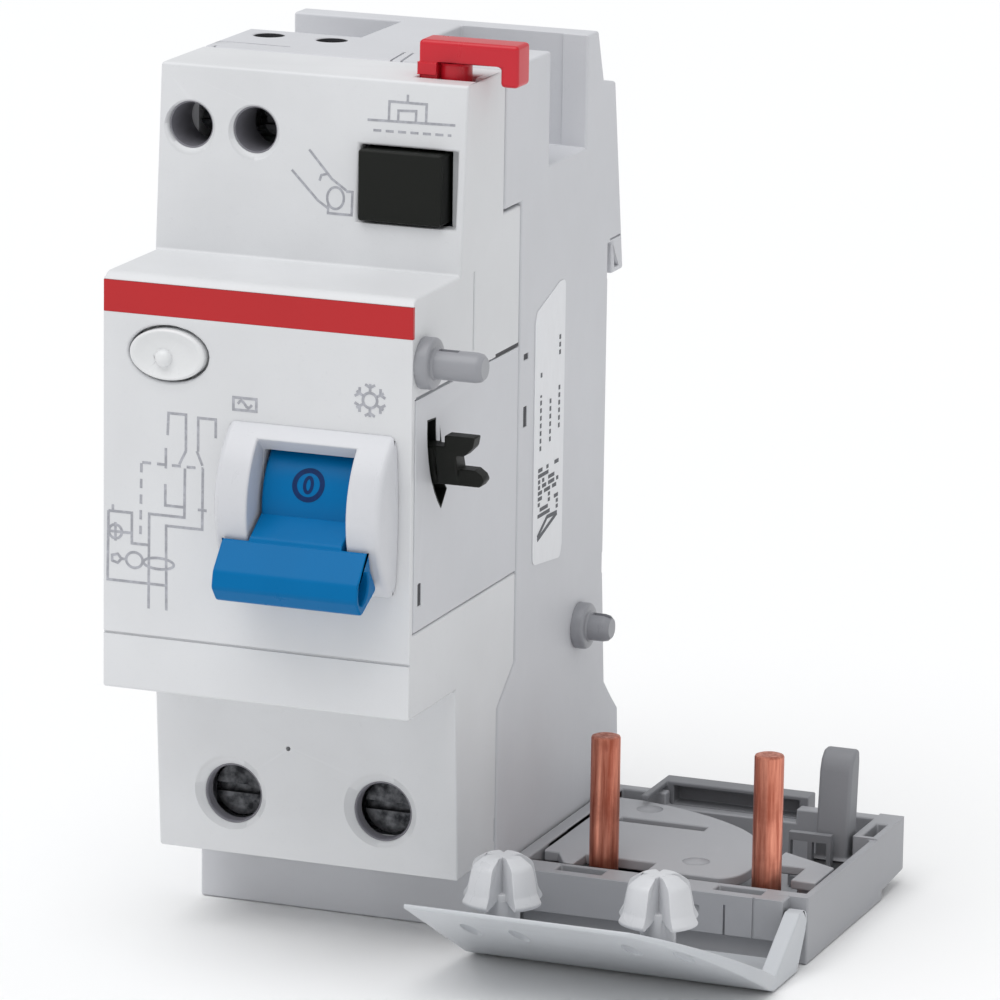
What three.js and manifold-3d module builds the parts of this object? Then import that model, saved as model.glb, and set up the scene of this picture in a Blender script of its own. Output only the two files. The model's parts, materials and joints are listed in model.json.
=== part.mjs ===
// Residual current device: a two-module block for a 35 mm rail, with the terminal tray that
// couples it to a two-pole circuit breaker standing on its right-hand side.
//
// Millimetres. +Z is up, +X is to the right seen from the front, +Y points at the rail.
// The origin is the middle of the block's seat on the rail.

import * as THREE from 'three';
import * as BufferGeometryUtils from 'three/addons/utils/BufferGeometryUtils.js';
import Module from 'manifold-3d';

// ---------------------------------------------------------------- driving dimensions

const HALF = 17.5;               // half the width: the block is two modules of 17.5 wide
const WALL = 1.8;                // casing wall
const GAP = 0.3;                 // joint between two moulded pieces
const NOSE_Y = -58;              // front of the nose, from the rail seat
const NOSE_Z = 22.5;             // half the height of the nose
const SHOULDER_LOW_Y = -44.7;    // front of a shoulder where it meets the nose
const SHOULDER_END_Y = -43.2;    // front of a shoulder at its far end
const TOP_Z = 42.5;              // top of the block
const SHOULDER_END_Z = -43.9;    // underside of the lower shoulder
const FOOT_Z = -52.9;            // underside of the foot and of the tray
const SEAM_Y = -27;              // joint between the two housings beside the nose
const SEAM_OUT_Y = -32;          // the same joint above and below it
const SEAM_TOP_Z = 27.4;         // height at which the joint steps forward
const SEAM_LOW_Z = -23.5;        // height at which it starts to slope forward
const RECESS_Z = 30;             // floor of the two recesses in the top
const RECESS_FRONT_Y = -19.5;    // front wall of the recesses
const RECESS_BACK_Y = -7.2;      // rear wall of the recesses
const RIB = [-4.5, 2.5];         // left and right side of the rib between the recesses
const INNER = HALF - WALL;       // inner face of the side walls

const PANEL = { front: -57, top: 11.8, bottom: -13.4 };
const TOGGLE = { x: 6.4, y: -51.8, z: -0.7, drum: 7.75, halfWidth: 5.2, bar: 8.2 };
const BEZEL = { radius: 10.7, halfWidth: 9.3, skirt: 9.9, window: 5.55, opens: 42.5 };
const LEVER = { y: -41, z: 8, slotIn: 10.2, slotOut: 12.6, slotFrom: -4, slotTo: 48 };
const TEST = { x: -10.06, z: 14.3, halfWidth: 4.3, halfHeight: 2.75 };
const LOCK = { x: 10.55, z: 31.4, halfWidth: 4.7, halfHeight: 3.8, recessX: 16.6, recessY: -42.4 };
const CLIP = { y: -40.1, depth: 3.6, bottom: 44.2, top: 46.5, left: 10.6, right: 21.8, post: 14.2 };
const TERMINAL = { x: [-8.9, 8.6], z: -37.3, hole: 3.3, head: -41 };
const AUX = { x: [-14, -6.6], z: 36, hole: 2.5, head: -37.5, entryY: -22.4 };
const PIN_FRONT = { y: -55, z: 15.35, radius: 1.6, from: 12, to: 24.4, collar: 2.75, collarTo: 18.95 };
const PIN_REAR = { y: -7.4, z: -24, radius: 1.55, from: 13, to: 21.5, collar: 2.6, collarTo: 18.9 };

const TRAY = { left: 17.8, right: 52.5, front: -31.5, back: 4.5, top: -45.4, wall: 1.6, floor: 1.6 };
const COPPER = { x: [27.4, 46.2], y: -24.8, radius: 1.62, top: -31.2, foot: -50.6 };
const HINGE = { y: -30.6, z: -47.6, pin: 0.6, knuckle: 1.2, play: 0.05, pins: [[18.4, 21.5], [48.8, 52]] };
const FLAP = {
  tipY: -60, tipZ: -42.2, tipThick: 0.5, heelY: -42.1, heelZ: -52, bendY: -39.9, bendZ: -52.8, thick: 1.5, cheek: 1.8,
};
const PLUG = { x: [26.25, 43.75], y: -52.6, foot: -43.1, stem: 1.9, height: 5.8, skirt: 4.5 };

// ---------------------------------------------------------------- materials

const plastic = (color, roughness = 0.55) =>
  new THREE.MeshStandardMaterial({ color, roughness, metalness: 0 });
const metal = (color, roughness = 0.35) =>
  new THREE.MeshStandardMaterial({ color, roughness, metalness: 1 });

const CASE = 0xd5d7da;
const TRAY_GREY = 0x9a9b9f;
const BLACK = 0x1e211f;
const BLUE = 0x0a6cb8;
const COPPER_RED = 0xc87563;

// ---------------------------------------------------------------- solids

const wasm = await Module();
wasm.setup();

// Turns a closed three.js geometry into a solid that can be cut and joined.
function solid(geometry) {
  const bare = geometry.clone();
  bare.deleteAttribute('normal');
  bare.deleteAttribute('uv');
  const merged = BufferGeometryUtils.mergeVertices(bare, 1e-4);
  const mesh = new wasm.Mesh({
    numProp: 3,
    vertProperties: new Float32Array(merged.attributes.position.array),
    triVerts: new Uint32Array(merged.index.array),
  });
  return new wasm.Manifold(mesh);
}

// Turns a solid back into a three.js geometry.
function geometryOf(shape) {
  const mesh = shape.getMesh();
  const geometry = new THREE.BufferGeometry();
  geometry.setAttribute('position', new THREE.BufferAttribute(new Float32Array(mesh.vertProperties), 3));
  geometry.setIndex(new THREE.BufferAttribute(new Uint32Array(mesh.triVerts), 1));
  geometry.computeVertexNormals();
  return geometry;
}

const joined = (...shapes) => shapes.reduce((all, next) => all.add(next));
const cut = (body, ...tools) => tools.reduce((left, tool) => left.subtract(tool), body);

// A block between two corners.
function box([x0, x1], [y0, y1], [z0, z1]) {
  const geometry = new THREE.BoxGeometry(x1 - x0, y1 - y0, z1 - z0);
  geometry.translate((x0 + x1) / 2, (y0 + y1) / 2, (z0 + z1) / 2);
  return solid(geometry);
}

// An outline in the YZ plane, drawn out along X.
function slabX(outline, [x0, x1]) {
  const shape = outline instanceof THREE.Shape ? outline
    : new THREE.Shape(outline.map(([y, z]) => new THREE.Vector2(y, z)));
  const geometry = new THREE.ExtrudeGeometry(shape, {
    depth: x1 - x0, bevelEnabled: false, curveSegments: 10,
  });
  const axes = new THREE.Matrix4().set(0, 0, 1, x0, 1, 0, 0, 0, 0, 1, 0, 0, 0, 0, 0, 1);
  return solid(geometry.applyMatrix4(axes));
}

// An outline in the XZ plane, drawn out along Y.
function slabY(outline, [y0, y1]) {
  const shape = new THREE.Shape(outline.map(([x, z]) => new THREE.Vector2(x, z)));
  const geometry = new THREE.ExtrudeGeometry(shape, { depth: y1 - y0, bevelEnabled: false });
  const axes = new THREE.Matrix4().set(1, 0, 0, 0, 0, 0, -1, y1, 0, 1, 0, 0, 0, 0, 0, 1);
  return solid(geometry.applyMatrix4(axes));
}

// A round bar from one point to another.
function rod(radius, from, to, sides = 24) {
  const start = new THREE.Vector3(...from);
  const end = new THREE.Vector3(...to);
  const axis = end.clone().sub(start);
  const geometry = new THREE.CylinderGeometry(radius, radius, axis.length(), sides);
  const turn = new THREE.Quaternion().setFromUnitVectors(new THREE.Vector3(0, 1, 0), axis.clone().normalize());
  geometry.applyQuaternion(turn);
  const middle = start.add(end).multiplyScalar(0.5);
  geometry.translate(middle.x, middle.y, middle.z);
  return solid(geometry);
}

// A bar along Y with an oval section.
function ovalY(x, z, halfWidth, halfHeight, [y0, y1], sides = 28) {
  const geometry = new THREE.CylinderGeometry(1, 1, y1 - y0, sides);
  geometry.scale(halfWidth, 1, halfHeight);
  geometry.translate(x, (y0 + y1) / 2, z);
  return solid(geometry);
}

// A closed profile of [radius, height] points turned about Z at (x, y).
function turned(profile, [x, y], sides = 24) {
  const geometry = new THREE.LatheGeometry(profile.map(([r, h]) => new THREE.Vector2(r, h)), sides);
  geometry.rotateX(Math.PI / 2);
  geometry.translate(x, y, 0);
  return solid(geometry);
}

// A tube that follows a smooth curve through the points.
function tube(points, radius, steps, sides = 8) {
  const path = new THREE.CatmullRomCurve3(points.map((point) => new THREE.Vector3(...point)));
  const section = new THREE.Shape();
  for (let i = 0; i < sides; i += 1) {
    const angle = (2 * Math.PI * i) / sides;
    const move = i === 0 ? 'moveTo' : 'lineTo';
    section[move](radius * Math.cos(angle), radius * Math.sin(angle));
  }
  section.closePath();
  return new THREE.ExtrudeGeometry(section, { steps, bevelEnabled: false, extrudePath: path });
}

// Points of a coil about an axis through the centre: 'x' or 'z'.
function coilPoints([cx, cy, cz], radius, length, turns, axis) {
  const points = [];
  const count = turns * 8;
  for (let i = 0; i <= count; i += 1) {
    const angle = (2 * Math.PI * i) / 8;
    const along = (length * i) / count - length / 2;
    const a = radius * Math.cos(angle);
    const b = radius * Math.sin(angle);
    points.push(axis === 'x' ? [cx + along, cy + a, cz + b] : [cx + a, cy + b, cz + along]);
  }
  return points;
}

// A point on a circle about the trip lever's pivot; angles are degrees below the forward direction.
function leverPoint(radius, degrees) {
  const angle = THREE.MathUtils.degToRad(degrees);
  return [LEVER.y - radius * Math.cos(angle), LEVER.z - radius * Math.sin(angle)];
}

// The outline of a ring sector about the trip lever's pivot.
function leverSector(inner, outer, from, to, steps = 8) {
  const outline = [];
  for (let i = 0; i <= steps; i += 1) outline.push(leverPoint(outer, from + ((to - from) * i) / steps));
  for (let i = steps; i >= 0; i -= 1) outline.push(leverPoint(inner, from + ((to - from) * i) / steps));
  return outline;
}

const object = new THREE.Group();

// Adds one named piece to the object.
function piece(name, shape, material) {
  const geometry = shape.isBufferGeometry ? shape : geometryOf(shape);
  const mesh = new THREE.Mesh(geometry, material);
  mesh.name = name;
  object.add(mesh);
}

// ---------------------------------------------------------------- casing

function noseOutline() {
  const shape = new THREE.Shape();
  const round = 1.4;
  shape.moveTo(SHOULDER_END_Y, TOP_Z);
  shape.lineTo(SHOULDER_LOW_Y, NOSE_Z);
  shape.lineTo(NOSE_Y + round, NOSE_Z);
  shape.absarc(NOSE_Y + round, NOSE_Z - round, round, Math.PI / 2, Math.PI, false);
  shape.lineTo(NOSE_Y, -NOSE_Z);
  shape.lineTo(SHOULDER_LOW_Y, -NOSE_Z);
  shape.lineTo(SHOULDER_END_Y, SHOULDER_END_Z);
  shape.lineTo(SEAM_OUT_Y - GAP, SHOULDER_END_Z);
  shape.lineTo(SEAM_OUT_Y - GAP, SEAM_LOW_Z - 4);
  shape.lineTo(SEAM_Y - GAP, SEAM_LOW_Z);
  shape.lineTo(SEAM_Y - GAP, SEAM_TOP_Z - GAP);
  shape.lineTo(SEAM_OUT_Y - GAP, SEAM_TOP_Z - GAP);
  shape.lineTo(SEAM_OUT_Y - GAP, TOP_Z);
  return shape;
}

function frontHousing() {
  const open = SEAM_Y + 8;
  const hollow = slabX([
    [SHOULDER_END_Y + WALL, TOP_Z - WALL], [SHOULDER_LOW_Y + WALL, NOSE_Z - WALL],
    [NOSE_Y + WALL, NOSE_Z - WALL], [NOSE_Y + WALL, -NOSE_Z + WALL],
    [SHOULDER_LOW_Y + WALL, -NOSE_Z + WALL], [SHOULDER_END_Y + WALL, SHOULDER_END_Z + WALL],
    [open, SHOULDER_END_Z + WALL], [open, TOP_Z - WALL],
  ], [-INNER, INNER]);
  let body = slabX(noseOutline(), [-HALF, HALF]).subtract(hollow);
  const sleeves = TERMINAL.x.map((x) =>
    rod(TERMINAL.hole + 1, [x, SHOULDER_END_Y + 0.9, TERMINAL.z], [x, TERMINAL.head - 0.4, TERMINAL.z], 32));
  const auxSleeves = AUX.x.map((x) =>
    rod(AUX.hole + 0.8, [x, SHOULDER_END_Y + 0.9, AUX.z], [x, AUX.head - 0.4, AUX.z], 28)
      .intersect(box([-HALF, HALF], [-50, -30], [0, TOP_Z])));
  body = joined(body, ...sleeves, ...auxSleeves);
  const bores = TERMINAL.x.map((x) =>
    rod(TERMINAL.hole, [x, -46, TERMINAL.z], [x, TERMINAL.head + 0.1, TERMINAL.z], 32));
  const auxBores = AUX.x.map((x) => rod(AUX.hole, [x, -46, AUX.z], [x, AUX.head + 0.1, AUX.z], 28));
  const cableWays = TERMINAL.x.map((x) => box([x - 3.6, x + 3.6], [-38.2, -32.9], [-45, -41]));
  const panelWay = box([INNER - 0.1, HALF + 1], [PANEL.front, SEAM_Y + 1], [PANEL.bottom, PANEL.top]);
  const drumWay = rod(TOGGLE.drum + 0.8, [TOGGLE.x - BEZEL.window, TOGGLE.y, TOGGLE.z],
    [TOGGLE.x + BEZEL.window, TOGGLE.y, TOGGLE.z], 32);
  const testWay = ovalY(TEST.x, TEST.z, TEST.halfWidth + GAP, TEST.halfHeight + GAP, [-60, -55]);
  const lockWay = box([LOCK.x - LOCK.halfWidth - GAP, LOCK.x + LOCK.halfWidth + GAP], [-47, -40],
    [LOCK.z - LOCK.halfHeight - GAP, LOCK.z + LOCK.halfHeight + GAP]);
  const lockRecess = box([LOCK.x, LOCK.recessX], [-47, LOCK.recessY],
    [LOCK.z - LOCK.halfHeight - GAP, LOCK.z + LOCK.halfHeight + GAP]);
  const clipWay = box([CLIP.left - GAP, 16.2], [CLIP.y - 0.4, CLIP.y + CLIP.depth + 0.4], [37.4, TOP_Z + 1]);
  const clipNotch = box([15.8, 17.1], [-40.4, -38.2], [41.3, TOP_Z + 1]);
  const pinWay = rod(PIN_FRONT.radius + 0.1, [PIN_FRONT.from - 0.5, PIN_FRONT.y, PIN_FRONT.z],
    [HALF + 1, PIN_FRONT.y, PIN_FRONT.z]);
  const stripeBed = box([-HALF - 1, HALF + 1], [NOSE_Y - 1, NOSE_Y + 0.5], [18.3, 21.7]);
  const lipLine = box([-HALF - 1, HALF + 1], [NOSE_Y - 1, NOSE_Y + 0.25], [-16.6, -16.3]);
  return cut(body, ...bores, ...auxBores, ...cableWays, panelWay, drumWay, testWay, lockWay, lockRecess, clipWay,
    clipNotch, pinWay, stripeBed, lipLine);
}

function rearHousing() {
  const outline = [
    [SEAM_OUT_Y, TOP_Z], [-4.1, TOP_Z], [-2.1, 36.7], [1.6, 36], [5, 14.3], [1.4, 14.3], [1.4, 17.9],
    [0, 17.9], [0, -19.4], [1.2, -32.4], [3.8, -34.9], [6, -36.8], [6.7, -46.8], [5.2, FOOT_Z],
    [SEAM_OUT_Y, FOOT_Z], [SEAM_OUT_Y, SEAM_LOW_Z - 4], [SEAM_Y, SEAM_LOW_Z], [SEAM_Y, SEAM_TOP_Z],
    [SEAM_OUT_Y, SEAM_TOP_Z],
  ];
  const hollowTop = box([-INNER, INNER], [-40, RECESS_FRONT_Y - WALL], [20, TOP_Z - WALL]);
  const hollowMiddle = box([-INNER, INNER], [-40, -2.2], [-35, RECESS_Z - WALL]);
  const hollowFoot = box([-INNER, INNER], [-40, 1.6], [FOOT_Z + WALL, -34]);
  const footFront = box([-HALF, HALF], [SEAM_OUT_Y, SEAM_OUT_Y + WALL], [FOOT_Z, SHOULDER_END_Z]);
  const recesses = [
    box([-HALF - 1, RIB[0]], [RECESS_FRONT_Y, RECESS_BACK_Y], [RECESS_Z, TOP_Z + 1]),
    box([RIB[1], INNER - 1.2], [RECESS_FRONT_Y, RECESS_BACK_Y], [RECESS_Z, TOP_Z + 1]),
    box([INNER - 2, HALF + 1], [-18.9, -7.5], [RECESS_Z, TOP_Z + 1]),
  ];
  const wireWays = AUX.x.map((x) => rod(1.7, [x, AUX.entryY, 38], [x, AUX.entryY, TOP_Z + 1]));
  const hookRelief = box([-HALF - 1, HALF + 1], [-0.15, 1.4], [14.1, 17.9]);
  const toothRelief = box([-HALF - 1, HALF + 1], [-0.15, 1.3], [-19.6, -17.4]);
  const clipWay = box([-4.2, 4.2], [-1.5, 8], [FOOT_Z - 1, -17.4]);
  const springWay = box([-2.4, 2.4], [-2.1, 1.5], [-40, -17.4]);
  const pinWay = rod(PIN_REAR.radius + 0.1, [INNER - 1, PIN_REAR.y, PIN_REAR.z],
    [HALF + 1, PIN_REAR.y, PIN_REAR.z]);
  const conductorWays = COPPER.x.map((x, i) =>
    box([INNER - 1, HALF + 1], [-20 + 6 * i, -15.5 + 6 * i], [-50.6, -46.2]));
  const shell = cut(slabX(outline, [-HALF, HALF]), hollowTop, hollowMiddle, hollowFoot).add(footFront);
  const clipBacking = box([-6, 6], [-2.9, 1.5], [-35, -17.4]).intersect(slabX(outline, [-HALF, HALF]));
  return cut(joined(shell, clipBacking), ...recesses, ...wireWays, hookRelief, toothRelief, clipWay, springWay,
    pinWay, ...conductorWays);
}

function sidePanel() {
  const edge = 0.15;
  const plate = box([INNER, HALF], [PANEL.front + edge, SEAM_Y - GAP],
    [PANEL.bottom + edge, PANEL.top - edge]);
  const slot = slabX(leverSector(LEVER.slotIn, LEVER.slotOut, LEVER.slotFrom, LEVER.slotTo),
    [INNER - 1, HALF + 1]);
  const shortSlot = box([HALF - 0.6, HALF + 1], [-55.6, -55.1], [-10.6, -8.2]);
  return cut(plate, slot, shortSlot);
}

function toggleBezel() {
  const { x, y, z, drum } = TOGGLE;
  const bulge = rod(BEZEL.radius, [x - BEZEL.halfWidth, y, z], [x + BEZEL.halfWidth, y, z], 48);
  const skirt = rod(BEZEL.radius - 1.2, [x - BEZEL.skirt, y, z], [x + BEZEL.skirt, y, z], 48);
  const front = box([-HALF, HALF], [-70, NOSE_Y - 0.05], [-20, 20]);
  const drumWay = rod(drum + 0.4, [x - BEZEL.window, y, z], [x + BEZEL.window, y, z], 32);
  const reach = 15;
  const steps = 10;
  const opening = [[y, z]];
  for (let i = 0; i <= steps; i += 1) {
    const angle = THREE.MathUtils.degToRad(BEZEL.opens - (2 * BEZEL.opens * i) / steps);
    opening.push([y - reach * Math.cos(angle), z + reach * Math.sin(angle)]);
  }
  const window = slabX(opening, [x - BEZEL.window, x + BEZEL.window]);
  return cut(joined(bulge, skirt).intersect(front), drumWay, window);
}

function mechanismFrame() {
  const plates = [box([-0.6, 0.9], [-51, -31.6], [-9, 19]), box([11.9, 13.4], [-51, -31.6], [-9, 19])];
  const ears = [
    box([-0.6, 0.9], [-54.4, -50], [-3.6, 3]), box([11.9, 13.4], [-54.4, -50], [-3.6, 3]),
  ];
  const back = box([-0.6, 13.4], [-33, -31.6], [-9, 8]);
  const holes = [
    rod(1.25, [-3, TOGGLE.y, TOGGLE.z], [16, TOGGLE.y, TOGGLE.z], 20),
    rod(1.35, [-3, LEVER.y, LEVER.z], [16, LEVER.y, LEVER.z], 20),
    rod(1.15, [-3, -35, 14], [16, -35, 14], 20),
  ];
  return cut(joined(...plates, ...ears, back), ...holes);
}

piece('front_housing', frontHousing(), plastic(CASE));
piece('rear_housing', rearHousing(), plastic(0xc9cbcf));
piece('side_panel', sidePanel(), plastic(0xc5c7cb));
piece('toggle_bezel', toggleBezel(), plastic(0xe4e5e5));
piece('front_stripe', box([-HALF, HALF], [NOSE_Y, NOSE_Y + 0.4], [18.4, 21.6]), plastic(0xc41e26));
piece('side_label', box([HALF + 0.01, HALF + 0.11], [-22.6, -13.4], [-14.4, 16.6]), plastic(0xe9e9e6));
piece('mechanism_frame', mechanismFrame(), plastic(0xd8d4c8));

// ---------------------------------------------------------------- toggle and its mechanism

function toggle() {
  const [left, right] = [TOGGLE.x - TOGGLE.halfWidth, TOGGLE.x + TOGGLE.halfWidth];
  const drum = rod(TOGGLE.drum, [left, TOGGLE.y, TOGGLE.z], [right, TOGGLE.y, TOGGLE.z], 40);
  const web = slabX([[-58.5, -1.3], [-59.5, -1.35], [-62.4, -3.25], [-64, -7], [-60.6, -8], [-56.5, -4.8]],
    [left, right]);
  const bar = slabX([[-62.4, -3.25], [-65.2, -6.5], [-65.6, -8.3], [-64.2, -10.1], [-60, -8], [-61.7, -5.7]],
    [TOGGLE.x - TOGGLE.bar, TOGGLE.x + TOGGLE.bar]);
  const pocket = slabX([[-63.4, -5.6], [-64.6, -6.9], [-64.4, -8.4], [-63.2, -8.9], [-62.3, -7.4]],
    [TOGGLE.x + 4.6, TOGGLE.x + 9]);
  const bore = rod(1.2, [left - 1, TOGGLE.y, TOGGLE.z], [right + 1, TOGGLE.y, TOGGLE.z], 20);
  return cut(joined(drum, web, bar), pocket, bore);
}

function tripLever() {
  const hub = rod(3, [13.8, LEVER.y, LEVER.z], [15.3, LEVER.y, LEVER.z], 24);
  const arm = slabX(leverSector(1.5, 10.5, 6, 34), [13.8, 15.3]);
  const shutter = slabX(leverSector(9.7, 13.2, -12, 56, 12), [13.8, 15.3]);
  const root = slabX(leverSector(LEVER.slotIn + 0.3, LEVER.slotOut - 0.3, 9, 31, 6), [15.2, 18.2]);
  const palm = slabX([[-53.2, 6.2], [-51.2, 6.2], [-50.2, 3.6], [-50.2, 1.9], [-52.2, 1.9], [-53.2, 5.3]],
    [18.1, 20.5]);
  const upper = slabY([[19.2, 5.3], [21.4, 5.3], [22.4, 6.3], [22.6, 7.4], [19.2, 7.4]], [-53.2, -51.2]);
  const lower = slabY([[20.4, 1.9], [22.8, 1.9], [23.3, 2.6], [23, 3.2], [22.3, 3.7], [20.4, 3.7]], [-52.2, -50.2]);
  const bore = rod(1.35, [13, LEVER.y, LEVER.z], [16, LEVER.y, LEVER.z], 20);
  return cut(joined(hub, arm, shutter, root, palm, upper, lower), bore);
}

function releaseLatch() {
  const hub = rod(2.6, [3, -35, 14], [10, -35, 14], 24);
  const arm = slabX([[-36, 14], [-34, 14], [-30.2, 17.2], [-30.2, 20.6], [-31.6, 20.6], [-32.2, 17.8]],
    [4.4, 8.6]);
  const hook = slabX([[-37, 15.6], [-36.6, 12.4], [-40.4, 13.6], [-40.9, 15.2]], [4.4, 8.6]);
  const bore = rod(1.15, [1, -35, 14], [12, -35, 14], 20);
  return cut(joined(hub, arm, hook), bore);
}

const steel = metal(0xb9bcc0);
piece('toggle', toggle(), plastic(BLUE, 0.4));
piece('toggle_pin', rod(1, [-2.6, TOGGLE.y, TOGGLE.z], [13.6, TOGGLE.y, TOGGLE.z], 16), steel);
piece('toggle_spring', tube(coilPoints([-2.5, -47, 3.4], 1.9, 3, 4, 'x'), 0.3, 32, 6), steel);
piece('trip_shaft', rod(1.15, [-2, LEVER.y, LEVER.z], [15.5, LEVER.y, LEVER.z], 16), steel);
piece('trip_lever', tripLever(), plastic(BLACK, 0.45));
piece('release_latch', releaseLatch(), plastic(0x3a3a3c));
piece('latch_pin', rod(0.95, [-2, -35, 14], [13.8, -35, 14], 16), steel);

const relayBody = cut(
  box([-2, 13.6], [-25, -6.4], [8.4, 26]),
  rod(1.3, [6.4, -28, 18.6], [6.4, -12, 18.6], 16),
);
piece('trip_relay', relayBody, plastic(0x2b4a7a, 0.35));
piece('relay_plunger', joined(
  rod(1, [6.4, -29.9, 18.6], [6.4, -14, 18.6], 16),
  rod(1.7, [6.4, -29.9, 18.6], [6.4, -28.8, 18.6], 16),
), steel);

// ---------------------------------------------------------------- buttons and clip

function testButton() {
  const cap = ovalY(TEST.x, TEST.z, TEST.halfWidth, TEST.halfHeight, [-58.5, -55.4]);
  const flange = ovalY(TEST.x, TEST.z, TEST.halfWidth + 1, TEST.halfHeight + 0.9, [-55.9, -55]);
  const stem = rod(1.5, [TEST.x, -55.2, TEST.z], [TEST.x, -51.6, TEST.z], 16);
  const dish = ovalY(TEST.x, TEST.z, TEST.halfWidth - 0.9, TEST.halfHeight - 0.8, [-60, -58]);
  const nub = rod(1, [TEST.x - 0.4, -58.7, TEST.z - 0.4], [TEST.x - 0.4, -57.5, TEST.z - 0.4], 16);
  return joined(cut(joined(cap, flange, stem), dish), nub);
}

function lockButton() {
  const span = [LOCK.x - LOCK.halfWidth, LOCK.x + LOCK.halfWidth];
  const head = box(span, [-45.1, -38.6], [LOCK.z - LOCK.halfHeight, LOCK.z + LOCK.halfHeight]);
  const foot = box([LOCK.x - 2, LOCK.x + 2], [-38.8, -34], [LOCK.z - 2, LOCK.z + 2]);
  return joined(head, foot);
}

function lockingClip() {
  const depth = [CLIP.y, CLIP.y + CLIP.depth];
  const middle = CLIP.y + CLIP.depth / 2;
  const bar = box([CLIP.left, CLIP.right], depth, [CLIP.bottom, CLIP.top]);
  const end = box([CLIP.right - 2, CLIP.right], depth, [42, CLIP.top]);
  const leg = box([CLIP.left, CLIP.left + 2.1], depth, [40.2, CLIP.bottom + 0.2]);
  const post = rod(1.7, [CLIP.post, middle, 40.2], [CLIP.post, middle, CLIP.bottom + 0.2], 20);
  const boss = box([CLIP.left - 0.2, CLIP.left + 2.1], [CLIP.y - 0.2, CLIP.y + 1], [42.8, 44.1]);
  return joined(bar, end, leg, post, boss);
}

piece('test_button', testButton(), plastic(0xdfe0e0, 0.35));
piece('lock_button', lockButton(), plastic(BLACK, 0.5));
piece('locking_clip', lockingClip(), plastic(0xd0202f, 0.4));

const contactStrip = joined(
  box([-12.4, -7.8], [-49.9, -49.5], [10.6, 18]),
  box([-12.4, -7.8], [-49.9, -44], [10.2, 10.6]),
);
piece('test_contact', contactStrip, metal(0xc9a86a));
piece('circuit_board', box([-13.6, -12.2], [-42, -6], [2, 28]), plastic(0x2f6b46, 0.4));
piece('test_resistor', joined(
  rod(1.4, [-10.4, -30, 9], [-10.4, -21, 9], 16),
  rod(0.35, [-10.4, -32.6, 9], [-10.4, -18.4, 9], 8),
), plastic(0xd9c49a, 0.4));

// ---------------------------------------------------------------- terminals and current path

// A slotted screw whose axis runs along Y, with its head at the front.
function screw(x, z, headY, headRadius, headLength, shankRadius, endY) {
  const head = rod(headRadius, [x, headY, z], [x, headY + headLength, z], 24);
  const shank = rod(shankRadius, [x, headY + headLength - 0.2, z], [x, endY, z], 16);
  const slot = box([x - headRadius - 1, x + headRadius + 1], [headY - 1, headY + 0.8], [z - 0.5, z + 0.5]);
  return cut(joined(head, shank), slot);
}

// A cage clamp: a square frame along Z with a round way for the screw in its front.
function clamp(x, [y0, y1], [z0, z1], half, wall, screwZ, screwRadius) {
  const frame = cut(
    box([x - half, x + half], [y0, y1], [z0, z1]),
    box([x - half + wall, x + half - wall], [y0 + wall, y1 - wall], [z0 - 1, z1 + 1]),
  );
  return cut(frame, rod(screwRadius, [x, y0 - 1, screwZ], [x, y0 + wall + 0.5, screwZ], 20));
}

const zinc = metal(0xa9abad, 0.4);
TERMINAL.x.forEach((x, i) => {
  piece(`terminal_screw_${i + 1}`,
    screw(x, TERMINAL.z, TERMINAL.head + 0.3, 2.9, 1.5, 1.9, -34.2), zinc);
  piece(`terminal_clamp_${i + 1}`,
    clamp(x, [-37.2, -29.6], [-41.6, -33], 4.4, 1.1, TERMINAL.z, 2.2), zinc);
});
AUX.x.forEach((x, i) => {
  const name = i + 1;
  const centre = i === 0 ? x + 1.2 : x;
  piece(`aux_screw_${name}`, screw(x, AUX.z, AUX.head + 0.3, 1.6, 1.4, 0.9, -27.4), zinc);
  piece(`aux_clamp_${name}`, clamp(centre, [-28, -21.6], [32.4, 38.6], 2.7, 0.5, AUX.z, 3), zinc);
});

const TOROID = { y: -15.4, z: -14, outer: 11.2, inner: 6.2, half: 4.2 };

function toroidWinding() {
  const { y, z, outer, inner, half } = TOROID;
  const grow = 0.9;
  const ring = (r0, r1, h) => turned([
    [r0, -h], [r1, -h], [r1, h], [r0, h], [r0, -h],
  ], [0, y], 40).translate([0, 0, z]);
  const sleeve = ring(inner - grow, outer + grow, half + grow).subtract(ring(inner - 0.3, outer + 0.3, half + 0.3));
  return cut(sleeve, box([-20, 3.4], [y - 20, y - 2], [z - 10, z + 10]));
}

piece('toroid_core', turned([
  [TOROID.inner, -TOROID.half], [TOROID.outer, -TOROID.half],
  [TOROID.outer, TOROID.half], [TOROID.inner, TOROID.half], [TOROID.inner, -TOROID.half],
], [0, TOROID.y], 40).translate([0, 0, TOROID.z]), metal(0x6f7378, 0.5));
piece('toroid_winding', toroidWinding(), metal(0xb06a3a, 0.4));

TERMINAL.x.forEach((x, i) => {
  const side = i === 0 ? -1 : 1;
  const inY = -17.7 + 6 * i;
  piece(`conductor_${i + 1}`, tube([
    [x, -28, -35.2], [x * 0.9, -28.6, -28], [x * 0.75, -28.6, -14], [side * 4.2, -27.2, -5.6],
    [side * 2.8, -20, -4.6], [side * 2.2, -15.4, -10], [side * 2.2, -15.4, -22], [side * 2.4, -16, -34],
    [4, inY, -47.2], [10, inY, -48.4], [22, inY, -48.4],
  ], 1.3, 30, 8), metal(COPPER_RED));
});

// ---------------------------------------------------------------- locating pins and rail catch

// A locating pin with a collar against the side of the casing.
function locatingPin({ y, z, radius, from, to, collar, collarTo }) {
  return joined(rod(radius, [from, y, z], [to, y, z], 24), rod(collar, [HALF + 0.02, y, z], [collarTo, y, z], 32));
}

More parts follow.
